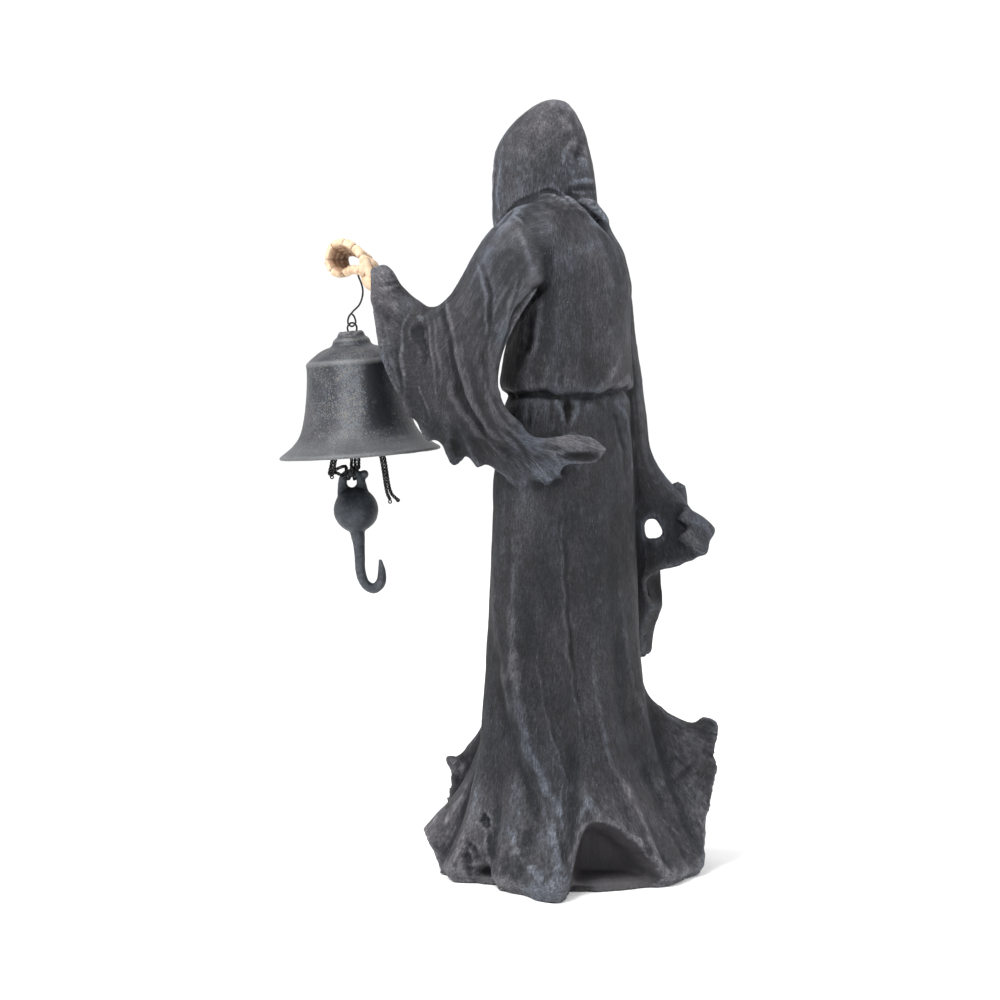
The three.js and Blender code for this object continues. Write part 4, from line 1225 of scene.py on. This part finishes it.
# Painted shade and dark washes at the darkened places in the table of painted shade and light, and small
# light specks of paint
painted = blended(tree, between(tree, shade_and_wash_share, 0.0, -0.9), painted, (0.22, 0.21, 0.22), "MULTIPLY")
dots = group_mask(tree, flecks_and_glints, Vector=place, Scale=900.0, Amount=0.36)
painted = blended(tree, times(tree, dots, 0.35), painted, (0.22, 0.22, 0.23))
# Painted shade on the skirt above the ground and painted light on the shoulders and hood, by height; and
# painted light on the underside of the lifted hem, where little light reaches
split = tree.nodes.new("ShaderNodeSeparateXYZ")
put(tree, split.inputs[0], place)
level = split.outputs[2]
painted_shade_on_skirt = times(tree, between(tree, level, 0.03, 0.07), between(tree, level, 0.22, 0.33, 1.0, 0.0))
painted = blended(tree, painted_shade_on_skirt, painted, (0.56, 0.56, 0.57), "MULTIPLY")
painted = blended(tree, between(tree, level, 0.29, 0.35), painted, (1.16, 1.16, 1.17), "MULTIPLY")
painted_light_under_hem = times(tree, attribute(tree, "under", "Fac"), 0.8)
painted = blended(tree, painted_light_under_hem, painted, (0.060, 0.056, 0.060))
roughness = between(tree, strokes, 0.3, 0.7, 0.6, 0.75)
put_all(tree, shader, {"Base Color": painted, "Roughness": roughness, "Specular IOR Level": 0.2})
brush_marks = plus(tree, times(tree, hair, 0.8), strokes)
bumped(tree, shader, plus(tree, brush_marks, times(tree, grit, 0.3)), 0.45, 0.0008)
robe.data.materials.clear()
robe.data.materials.append(robe_paint)
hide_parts("robed_figure")
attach(robe, "root")

# Left hand: cast in resin as bones, its fingers curled into a loop, painted cream with brown in the joints
# and painted shade inside the curl.
# Each bone is a lofted bar that swells at both ends, and all of them are fused and smoothed.
def bone(start, end, radius):
    shares = np.linspace(0, 1, 9)
    points = [lerp(np.array(start, float), np.array(end, float), share) for share in shares]
    swell = np.array([0.66, 0.98, 1.0, 0.97, 0.94, 0.97, 1.0, 0.98, 0.66])
    return lofted_bar(points, radius * swell, 32, 20)


def finger(points, radius):
    return [bone(start, end, radius) for start, end in zip(points[:-1], points[1:])]


def gathered(made, others):
    """Puts the other meshes into the first object, as shells of their own."""
    bpy.ops.object.select_all(action="DESELECT")
    for part in (made, *others):
        part.select_set(True)
    bpy.context.view_layer.objects.active = made
    bpy.ops.object.join()


def fused(name, parts, size, rounds):
    """One closed mesh made of overlapping closed ones, with its seams rounded off."""
    made = parts[0]
    gathered(made, parts[1:])
    made.name = name
    remeshed(made, size)
    points, edges, _ = mesh_arrays(made)
    place_points(made, relaxed(points, edges, rounds))
    smooth_shaded(made)
    return made


def roughened(made, waves):
    """Pushes the surface in and out by soft noise; waves are (length, height) in mm."""
    points, _, normals = mesh_arrays(made)
    place_points(made, points + normals * soft_noise(points, waves)[:, None])


def dressed(made, paint, node):
    """Paints a piece and says which solid it takes the place of."""
    made.data.materials.clear()
    made.data.materials.append(paint)
    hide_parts(node)
    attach(made, "root")


finger_pitch = 4.5
left_finger_pitch = 3.9
bone_voxel = 0.42
left_bones = []
left_joints = []
for index, shorter in enumerate((0.0, 0.2, 0.6, 1.8)):
    across = 58.6 - left_finger_pitch * index
    along = -1.7 * index
    tucked = 1.15 * index
    finger_line = [
        (54.6 - (index - 1.5) * 1.2, -86.0, 306.5),
        (across - 0.4, -91.8 + along, 319.6 - tucked * 0.7),
        (across, -97.2 + along, 323.8 - tucked),
        (across, -103.6 + along, 326.6 - tucked * 1.2),
        (across, -111.6 + along + tucked * 0.6, 325.6 - tucked * 1.2),
        (across, -115.8 + along + shorter + tucked, 318.0),
        (across - 0.3, -112.6 + along + shorter + tucked * 0.6, 312.0 + tucked * 0.2),
        (across - 0.6, -106.8 + along, 310.2),
    ]
    left_bones += finger(finger_line, 2.6)
    left_joints += list(zip(finger_line[:-2], finger_line[1:-1], finger_line[2:]))
left_bones += finger([(55, -88, 308), (57.6, -94, 312), (57.4, -100, 312.6), (55, -106, 311)], 2.6)
left_bones += [
    lofted_bar([(54.2, -79, 303.5), (54.4, -88, 306.5), (54, -92, 309)], [5.2, 5.2, 4.2], 20, 32),
    rounded_ball((54, -91, 313), (7.2, 3.6, 5.4)),
]
left_hand = fused("left_hand", left_bones, bone_voxel, 3)
roughened(left_hand, ((3.0, 0.16), (1.2, 0.06)))
add_relief(left_hand, (("relief", 12, 0.26),))
points, _, normals = mesh_arrays(left_hand)
curl_middle = np.array([0, -104, 318])
to_middle = curl_middle - points * [0, 1, 1]
to_middle /= np.maximum(np.linalg.norm(to_middle, axis=1), 1)[:, None]
in_curl = smooth_step(0.1, 0.7, np.sum(to_middle * normals, axis=1)) * (points[:, 1] < -94)
keep_values(left_hand, "in curl", in_curl)
jointed = np.zeros(len(points))
for before, joint, after in np.array(left_joints, float):
    run = (after - before) / np.linalg.norm(after - before)
    beside = np.linalg.norm(points - joint, axis=1)
    jointed = np.maximum(jointed, np.exp(-(((points - joint) @ run / 0.42) ** 2)) * (beside < 3.4))
keep_values(left_hand, "joint", jointed)

bone_paint, tree, shader = new_paint("washed bone")
place = object_place(tree)
relief = attribute(tree, "relief", "Fac")
cream = speckle(tree, place, 260.0, 3.0)
cream = grain_between(tree, cream, 0.4, 0.66, (0.62, 0.47, 0.33), (0.52, 0.36, 0.23))
wash = plus(tree, relief, times(tree, speckle(tree, place, 420.0), 0.5))
wash = times(tree, between(tree, wash, 0.28, -0.25), 0.92)
painted = blended(tree, wash, cream, (0.19, 0.085, 0.045))
painted = blended(tree, between(tree, relief, 0.4, 1.0, 0.0, 0.5), painted, (0.68, 0.57, 0.44))
# Painted shade inside the curl of the fingers, brown and uneven
uneven_curl_shade = between(tree, speckle(tree, place, 300.0, 3.0), 0.2, 0.7, 0.95, 0.6)
curl_shade = times(tree, attribute(tree, "in curl", "Fac"), uneven_curl_shade)
painted = blended(tree, curl_shade, painted, (0.21, 0.11, 0.062))
uneven_joint = between(tree, speckle(tree, place, 500.0), 0.3, 0.6, 0.2, 0.85)
joint_line = times(tree, attribute(tree, "joint", "Fac"), uneven_joint)
painted = blended(tree, joint_line, painted, (0.13, 0.07, 0.045))
put_all(tree, shader, {"Base Color": painted, "Roughness": 0.62, "Specular IOR Level": 0.3})
bumped(tree, shader, speckle(tree, place, 900.0, 3.0), 0.35, 0.0006)
dressed(left_hand, bone_paint, "left_hand")

# Right hand: a second casting of bones, half open, that hangs out of the other sleeve on the hidden side.
# It is made and painted as the left hand is.
right_bones = []
for index in range(4):
    across = -57.5 + finger_pitch * index
    right_bones += finger(
        [
            (-51 + (index - 1.5) * 1.8, -46, 230),
            (across, -57, 224),
            (across, -66, 216),
            (across, -70, 206.5),
            (across, -68, 199),
        ],
        2.3,
    )
right_bones += finger([(-48, -48, 228), (-42.5, -52, 221), (-41.5, -57, 213)], 2.3)
right_bones += [
    lofted_bar(right_wrist, [5.2, 5.2, 4.6], 20, 32),
    rounded_ball((-51, -51.5, 227), (7, 5.4, 3.6)),
]
right_hand = fused("right_hand", right_bones, bone_voxel, 2)
roughened(right_hand, ((3.0, 0.22), (1.2, 0.10)))
add_relief(right_hand, (("relief", 12, 0.32),))
dressed(right_hand, bone_paint, "right_hand")

# Skull: a plain bone casting deep in the hood, hidden in the photograph, on a peg for a neck.
# Balls and bars are fused, the eyes and nose are cut out of them, and two rows of small balls are the teeth.
skull_parts = [
    rounded_ball((0, -18.6, 363.4), (12.4, 15.6, 13.8)),
    rounded_ball((0, -27.5, 352), (9.4, 8.6, 9.6)),
    rounded_ball((0, -27, 341), (7.2, 7.6, 4.6), 12),
    lofted_bar(neck_peg, [4.6] * 3, 20, 28),
]
for side in (-1, 1):
    cheek = [(side * 3, -35, 350.5), (side * 8, -31.5, 351.5), (side * 11, -22, 352.5)]
    brow = [(side * 1.5, -36, 359.5), (side * 6.5, -35, 360.3), (side * 10.5, -29, 358)]
    jaw = [(side * 4, -33, 339), (side * 8, -26, 340.5), (side * 9.4, -19, 348)]
    for line, radii in ((cheek, [1.7, 2, 1.5]), (brow, [1.5, 1.7, 1.5]), (jaw, [1.9, 2, 1.9])):
        skull_parts.append(lofted_bar(line, radii, 16, 14))
skull = fused("skull", skull_parts, 0.6, 4)
eye_sockets = [rounded_ball((side * 5, -36.4, 355.4), (3.5, 5, 3.2)) for side in (-1, 1)]
nose_holes = [rounded_ball((side * 0.9, -37, 349.6), (1.2, 3, 2.3), 10 * side) for side in (-1, 1)]
for hole in eye_sockets + nose_holes:
    joined_to(skull, hole, "DIFFERENCE")
tooth_pitch = 1.5
teeth = []
for height, depth in ((344.4, 8.6), (341.4, 8.0)):
    for index in range(-4, 5):
        angle = index * tooth_pitch / depth
        place = (math.sin(angle) * depth, -27.6 - math.cos(angle) * depth, height)
        teeth.append(rounded_ball(place, (0.66, 0.9, 1.5)))
skull = fused("skull", [skull, *teeth], 0.5, 1)
roughened(skull, ((5.0, 0.2), (1.5, 0.08)))
add_relief(skull, (("relief", 14, 0.4),))
dressed(skull, bone_paint, "skull")

# Finger hook: black craft wire bent by hand into an open hook above and a wound eye below.
# It is one bar of round wire along the line that hangs beside the bell's axis.
hang_bearing = math.radians(130)
bell_axis = np.array([50.6, -107, 0])


def hanging(sideways, height, nearer=0.0):
    """A place given beside the bell's axis, in the upright plane that the bell leans in."""
    right = np.array([math.cos(hang_bearing), math.sin(hang_bearing), 0])
    near = np.array([math.sin(hang_bearing), -math.cos(hang_bearing), 0])
    return bell_axis + right * sideways + near * nearer + np.array([0, 0, height])


hook_wire = 0.5
finger_hook = lofted_bar(
    [
        hanging(-1.1, 313.6, -4.9), hanging(1.2, 314.4, -3), hanging(3.4, 313.2, -1.3),
        hanging(3.9, 309.4, -0.9), hanging(5.6, 305, -0.4), hanging(6.3, 300.5), hanging(4.6, 294.5),
        hanging(1, 290.6), hanging(-1.2, 287.6), hanging(-1.5, 284.4), hanging(0.5, 282.8),
        hanging(2.4, 284.6), hanging(1.8, 287.8, 0.8), hanging(0.8, 289.2, 1.6),
    ],
    [hook_wire] * 14, 190, 14,
)
finger_hook.name = "finger_hook"
smooth_shaded(finger_hook)
roughened(finger_hook, ((2.0, 0.05),))

wire_paint, tree, shader = new_paint("black wire")
place = object_place(tree)
rubbed = speckle(tree, place, 700.0, 2.0)
black = grain_between(tree, rubbed, 0.55, 0.7, (0.008, 0.008, 0.009), (0.035, 0.036, 0.04))
roughness = between(tree, rubbed, 0.3, 0.7, 0.5, 0.36)
put_all(tree, shader, {"Base Color": black, "Metallic": 0.3, "Roughness": roughness})
dressed(finger_hook, wire_paint, "finger_hook")

# Bell ring: one turn of the same black wire, closed through the crown of the bell.
# It is a torus in the hook's wire, turned across the hook's eye.
def upright_ring(radius, wire, place, bearing, around, sides):
    bpy.ops.mesh.primitive_torus_add(
        major_radius=radius * mm, minor_radius=wire * mm, major_segments=around, minor_segments=sides
    )
    made = bpy.context.object
    turned = Matrix.Rotation(bearing, 4, "Z") @ Matrix.Rotation(math.pi / 2, 4, "X")
    made.data.transform(Matrix.Translation(Vector(place) * mm) @ turned)
    smooth_shaded(made)
    return made


bell_ring = upright_ring(2.9, hook_wire, hanging(0.6, 281.8), hang_bearing + math.radians(35), 64, 14)
bell_ring.name = "bell_ring"
roughened(bell_ring, ((2.0, 0.05),))
dressed(bell_ring, wire_paint, "bell_ring")

# Bell: a hollow iron casting turned on its axis, its crown left rough, with a speckled grey-blue patina over
# charcoal paint, and upright bands that are partly paint and partly a painted highlight and a painted dark
# reflection. Its profile is spun, roughened most at the crown, and leaned a little with its staple.
bell_lean = math.radians(4.2)
bell_height = 65
# radius and height of each point, from the crown down the outside and up again inside
bell_profile = [
    (0.2, 64.6), (3.6, 65.1), (6.0, 65.0), (6.9, 63.8), (7.1, 62.2), (8.9, 61.3), (9.9, 60.2),
    (10.2, 58.2), (11.4, 57.2), (14.6, 56.4), (18.2, 54.6), (21.4, 52.2), (24.0, 50.0), (24.9, 49.2),
    (25.2, 48.2), (24.7, 47.3), (24.7, 46), (25.2, 39), (26.0, 32), (27.2, 25), (28.8, 18), (30.2, 13.4),
    (32.6, 9.2), (35.8, 5.9), (39.6, 3.1), (42.2, 1.5), (42.9, 0.7), (42.8, -0.1), (41.8, -0.5),
    (40.6, -0.2), (33.5, 3.4), (30, 8), (27.6, 12.5), (24, 28), (22.4, 40), (21.8, 47.5), (16, 52.4),
    (8, 54.2), (0.2, 54.6),
]
profile = np.array(bell_profile)
walked = np.concatenate([[0], np.cumsum(np.linalg.norm(np.diff(profile, axis=0), axis=1))])
steps = np.linspace(0, walked[-1], 260)
profile = np.stack([np.interp(steps, walked, profile[:, column]) for column in (0, 1)], -1)
for _ in range(3):
    profile[1:-1] = lerp(profile[1:-1], (profile[:-2] + profile[2:]) / 2, 0.5)
around = np.linspace(0, 2 * math.pi, 220, endpoint=False)
radius, level = profile[:, :1], np.repeat(profile[:, 1:], len(around), axis=1)
bell = plain_loft("bell", np.stack([radius * np.cos(around), radius * np.sin(around), level], -1))
smooth_shaded(bell)
points, _, normals = mesh_arrays(bell)
on_crown = smooth_step(60, 64, points[:, 2]) * (np.hypot(points[:, 0], points[:, 1]) > 4)
cast = soft_noise(points, ((9.0, 0.16), (2.5, 0.07)))
crumbled = soft_noise(points, ((3.2, 0.9),))
points = points + normals * (cast + crumbled * on_crown)[:, None]
place_points(bell, points)
near_turn = math.atan2(-math.cos(hang_bearing), math.sin(hang_bearing))
turn = (np.arctan2(points[:, 1], points[:, 0]) - near_turn + math.pi) % (2 * math.pi) - math.pi
add_relief(bell, (("relief", 10, 0.12),))
keep_values(bell, "turn", turn)
keep_values(bell, "rise", points[:, 2] / bell_height)
staple = upright_ring(3.4, 0.9, (0, 0, 53.6), hang_bearing, 40, 12)
gathered(bell, [staple])
lean_axis = Vector((math.sin(hang_bearing), -math.cos(hang_bearing), 0))
lip = Matrix.Translation(Vector(hanging(4.6, 215.5)) * mm)
bell.data.transform(lip @ Matrix.Rotation(bell_lean, 4, lean_axis))

patina, given, result = new_group(
    "patina",
    [
        ("Vector", "NodeSocketVector", None),
        ("Scale", "NodeSocketFloat", 1200.0),
        ("Amount", "NodeSocketFloat", 0.5),
    ],
    [("Mask", "NodeSocketFloat")],
)
grains = speckle(patina, given["Vector"], given["Scale"], 2.0, 0.75)
drifts = speckle(patina, given["Vector"], times(patina, given["Scale"], 0.11), 3.0, 0.6)
limit = minus(patina, 0.66, times(patina, given["Amount"], 0.2))
limit = plus(patina, limit, times(patina, minus(patina, 0.5, drifts), 0.35))
put(patina, result["Mask"], between(patina, grains, limit, plus(patina, limit, 0.12)))

bell_paint, tree, shader = new_paint("patinated iron")
place = object_place(tree)
turn = attribute(tree, "turn", "Fac")
rise = attribute(tree, "rise", "Fac")
uneven = times(tree, minus(tree, speckle(tree, place, 45.0, 3.0), 0.5), 0.5)
turned = plus(tree, turn, uneven)
# Upright bands on the side towards the camera: a paler band left of the middle, partly paler paint and
# partly a painted highlight, and a dark band right of it, partly darker paint and partly a painted dark
# reflection; the patina is thicker in the first band and thinner in the second
pale_paint_and_sheen_band = times(tree, between(tree, turned, -0.52, -0.22), between(tree, turned, 0.3, 0.1))
dark_paint_and_reflection_band = times(tree, between(tree, turned, 0.26, 0.42), between(tree, turned, 0.95, 0.66))
wall = times(tree, between(tree, rise, 0.12, 0.28), between(tree, rise, 0.8, 0.7))
pale_paint_and_sheen_band = times(tree, pale_paint_and_sheen_band, wall)
dark_paint_and_reflection_band = times(tree, dark_paint_and_reflection_band, wall)
lip_share = between(tree, rise, 0.2, 0.05)
shoulder = times(tree, between(tree, rise, 0.73, 0.76), between(tree, rise, 0.79, 0.76))
iron = speckle(tree, place, 60.0, 4.0)
iron = grain_between(tree, iron, 0.35, 0.7, (0.020, 0.023, 0.030), (0.044, 0.043, 0.050))
iron = blended(tree, times(tree, lip_share, 0.6), iron, (0.085, 0.088, 0.095))
iron = blended(tree, times(tree, pale_paint_and_sheen_band, 0.5), iron, (0.085, 0.09, 0.10))
iron = blended(tree, times(tree, dark_paint_and_reflection_band, 0.85), iron, (0.007, 0.008, 0.012))
amount = plus(tree, 0.66, times(tree, pale_paint_and_sheen_band, 0.5))
amount = minus(tree, amount, times(tree, dark_paint_and_reflection_band, 0.7))
dust = group_mask(tree, patina, Vector=place, Scale=1250.0, Amount=amount)
tint = speckle(tree, place, 300.0, 2.0)
tint = grain_between(tree, tint, 0.45, 0.6, (0.16, 0.18, 0.20), (0.22, 0.21, 0.20))
iron = blended(tree, times(tree, dust, 0.55), iron, tint)
iron = blended(tree, times(tree, shoulder, 0.22), iron, (0.17, 0.18, 0.19))
rubbed = between(tree, attribute(tree, "relief", "Fac"), 0.2, 1.0, 0.0, 0.26)
iron = blended(tree, rubbed, iron, (0.2, 0.2, 0.2))
roughness = between(tree, dust, 0.0, 1.0, 0.46, 0.68)
put_all(tree, shader, {
    "Base Color": iron, "Metallic": 0.15, "Roughness": roughness, "Specular IOR Level": 0.4,
})
bumped(tree, shader, speckle(tree, place, 1250.0, 3.0, 0.7), 0.45, 0.0005)
dressed(bell, bell_paint, "bell")

# Clapper: an eye, a ball, a shank and an open hook, cast in one and painted blue-black with a thin patina,
# and with painted shade in its hollows.
# Rings, balls and bars are fused and smoothed, so that the eye grows out of the ball.
clapper_parts = [
    upright_ring(4.9, 2.35, hanging(0.2, 200.6), hang_bearing, 64, 20),
    rounded_ball(hanging(6.6, 204.8), (2.5, 2.5, 2.5)),
    rounded_ball(hanging(2.3, 185.9), (11.9, 11.9, 11.9)),
    rounded_ball(hanging(1.4, 194.6), (5.2, 5.2, 3.4)),
    lofted_bar([hanging(-4.9, 200), hanging(-4.6, 194), hanging(-3.4, 188)], [2.3, 2.9, 3.4], 14, 20),
    lofted_bar([hanging(5.6, 200), hanging(6.4, 194), hanging(6.4, 188)], [2.3, 2.9, 3.4], 14, 20),
    lofted_bar(
        [
            hanging(2.6, 180), hanging(3.2, 174), hanging(3.8, 168), hanging(4.3, 161), hanging(4.8, 153),
            hanging(7.4, 146.4), hanging(11.8, 144.2), hanging(15.4, 147.6), hanging(15.9, 153.5),
            hanging(15, 159.8),
        ],
        [5.2, 3.9, 3.2, 2.85, 2.7, 2.7, 2.75, 2.7, 2.2, 0.9], 90, 28,
    ),
]
clapper = fused("clapper", clapper_parts, 0.5, 5)
roughened(clapper, ((6.0, 0.22), (2.0, 0.09)))
add_relief(clapper, (("relief", 12, 0.2),))

clapper_paint, tree, shader = new_paint("blue-black iron")
place = object_place(tree)
relief = attribute(tree, "relief", "Fac")
iron = speckle(tree, place, 110.0, 3.0)
iron = grain_between(tree, iron, 0.38, 0.66, (0.016, 0.020, 0.027), (0.038, 0.044, 0.054))
dust = group_mask(tree, patina, Vector=place, Scale=1100.0, Amount=0.3)
iron = blended(tree, times(tree, dust, 0.4), iron, (0.12, 0.14, 0.16))
iron = blended(tree, between(tree, relief, 0.1, 1.0, 0.0, 0.45), iron, (0.13, 0.14, 0.155))
# Painted shade: almost black in the hollows of the casting
iron = blended(tree, between(tree, relief, -0.1, -0.9, 0.0, 0.8), iron, (0.006, 0.007, 0.009))
put_all(tree, shader, {"Base Color": iron, "Metallic": 0.15, "Roughness": 0.52, "Specular IOR Level": 0.35})
bumped(tree, shader, speckle(tree, place, 1100.0, 3.0, 0.7), 0.35, 0.0005)
dressed(clapper, clapper_paint, "clapper")

# Chains: fine black chain from the staple, in three strands of two or three side by side, with end rings.
# Each link is an oval of wire turned a quarter from the last, and links and rings share one mesh.
link_width = 1.3
link_length = 1.6
link_wire = 0.62
link_pitch = 1.75
link_around = 12
link_over = 4
towards_camera = [0.766, 0.643, 0.05]


def chain(points, start=0):
    """Corners of the links along a smooth line, ring by ring round each oval and its wire."""
    line = through(points, np.linspace(0, 1, 300))
    walked = np.concatenate([[0], np.cumsum(np.linalg.norm(np.diff(line, axis=0), axis=1))])
    turns_around = np.linspace(0, 2 * math.pi, link_around, endpoint=False)
    turns_over = np.arange(link_over) * 2 * math.pi / link_over
    around, over = np.meshgrid(turns_around, turns_over, indexing="ij")
    links = []
    for index in range(int(walked[-1] / link_pitch) + 1):
        behind, middle, ahead = (
            np.array([np.interp(index * link_pitch + step, walked, line[:, axis]) for axis in range(3)])
            for step in (-0.3, 0, 0.3)
        )
        along = (ahead - behind) / np.linalg.norm(ahead - behind)
        side = np.cross(along, towards_camera)
        side = side / np.linalg.norm(side)
        face = np.cross(along, side)
        quarter = math.pi / 4 + (index + start) % 2 * math.pi / 2
        across = math.cos(quarter) * side + math.sin(quarter) * face
        through_link = np.cross(along, across)
        outward = np.cos(around)[..., None] * across + np.sin(around)[..., None] * along
        oval = (
            (link_width - link_wire) * np.cos(around)[..., None] * across
            + (link_length - link_wire) * np.sin(around)[..., None] * along
        )
        wire = np.cos(over)[..., None] * outward + np.sin(over)[..., None] * through_link
        links.append(middle + oval + link_wire * wire)
    return links


links = []
for place, start in ((-0.9, 0), (0.9, 1)):
    links += chain([
        hanging(0.4 + place * 0.5, 263, 1), hanging(-7 + place, 248, 2), hanging(-9.3 + place, 212, 2),
        hanging(-10.8 + place, 205, 2),
    ], start)
    links += chain([
        hanging(1.6 + place * 0.5, 263, 1), hanging(9.5 + place, 240, 2), hanging(16.5 + place, 214, 2),
        hanging(20.0 + place * 1.2, 195, 2), hanging(20.4 + (place > 0) * 3.8, 191.6, 2),
    ], start)
for index, place in enumerate((0.1, 2.0, 3.9)):
    links += chain([
        hanging(1, 263, index - 1), hanging(1.2 + place * 0.3, 240, index - 1),
        hanging(place, 214, index - 1), hanging(place, 207.4, 2.6 - index),
    ], index)
wrapped = [hanging(-10.2, 204.6, 2), hanging(-8, 207.4, 4), hanging(-4.6, 209, 4.4)]
for step in range(14):
    angle = 0.3 + step * 0.95
    wrapped.append(hanging(-3 + step * 0.5, 205.6 + 3.3 * math.cos(angle), 3.3 * math.sin(angle)))
links += chain(wrapped)
links += chain([
    hanging(-9.6, 206, 2.6), hanging(-7, 205.4, 4), hanging(-4.4, 204, 4), hanging(-3.4, 202, 3.4),
])
link_faces = []
for index in range(len(links)):
    first = index * link_around * link_over
    for step in range(link_around):
        here = first + step * link_over
        ahead = first + (step + 1) % link_around * link_over
        for turn in range(link_over):
            beside = (turn + 1) % link_over
            link_faces.append([here + turn, ahead + turn, ahead + beside, here + beside])
link_mesh = bpy.data.meshes.new("chains")
link_mesh.from_pydata(np.concatenate([link.reshape(-1, 3) for link in links]) * mm, [], link_faces)
chains = bpy.data.objects.new("chains", link_mesh)
scene.collection.objects.link(chains)
end_rings = [
    upright_ring(2.6, 0.75, hanging(1, 264.6), hang_bearing + math.pi / 2, 24, 8),
    upright_ring(0.8, 0.34, hanging(20.4, 190.4, 2), hang_bearing, 20, 8),
    upright_ring(0.8, 0.34, hanging(24.6, 191.2, 2), hang_bearing, 20, 8),
    upright_ring(0.8, 0.34, hanging(-10.2, 203.4, 2.4), hang_bearing, 20, 8),
]
gathered(chains, end_rings)
smooth_shaded(chains)

chain_paint, tree, shader = new_paint("blackened chain")
place = object_place(tree)
# Painted glints: pale specks on the black links
painted_glints = group_mask(tree, flecks_and_glints, Vector=place, Scale=1100.0, Amount=0.75)
black = blended(tree, times(tree, painted_glints, 0.7), (0.007, 0.007, 0.008), (0.2, 0.21, 0.22))
put_all(tree, shader, {"Base Color": black, "Roughness": 0.6, "Specular IOR Level": 0.3})
dressed(chains, chain_paint, "chains")
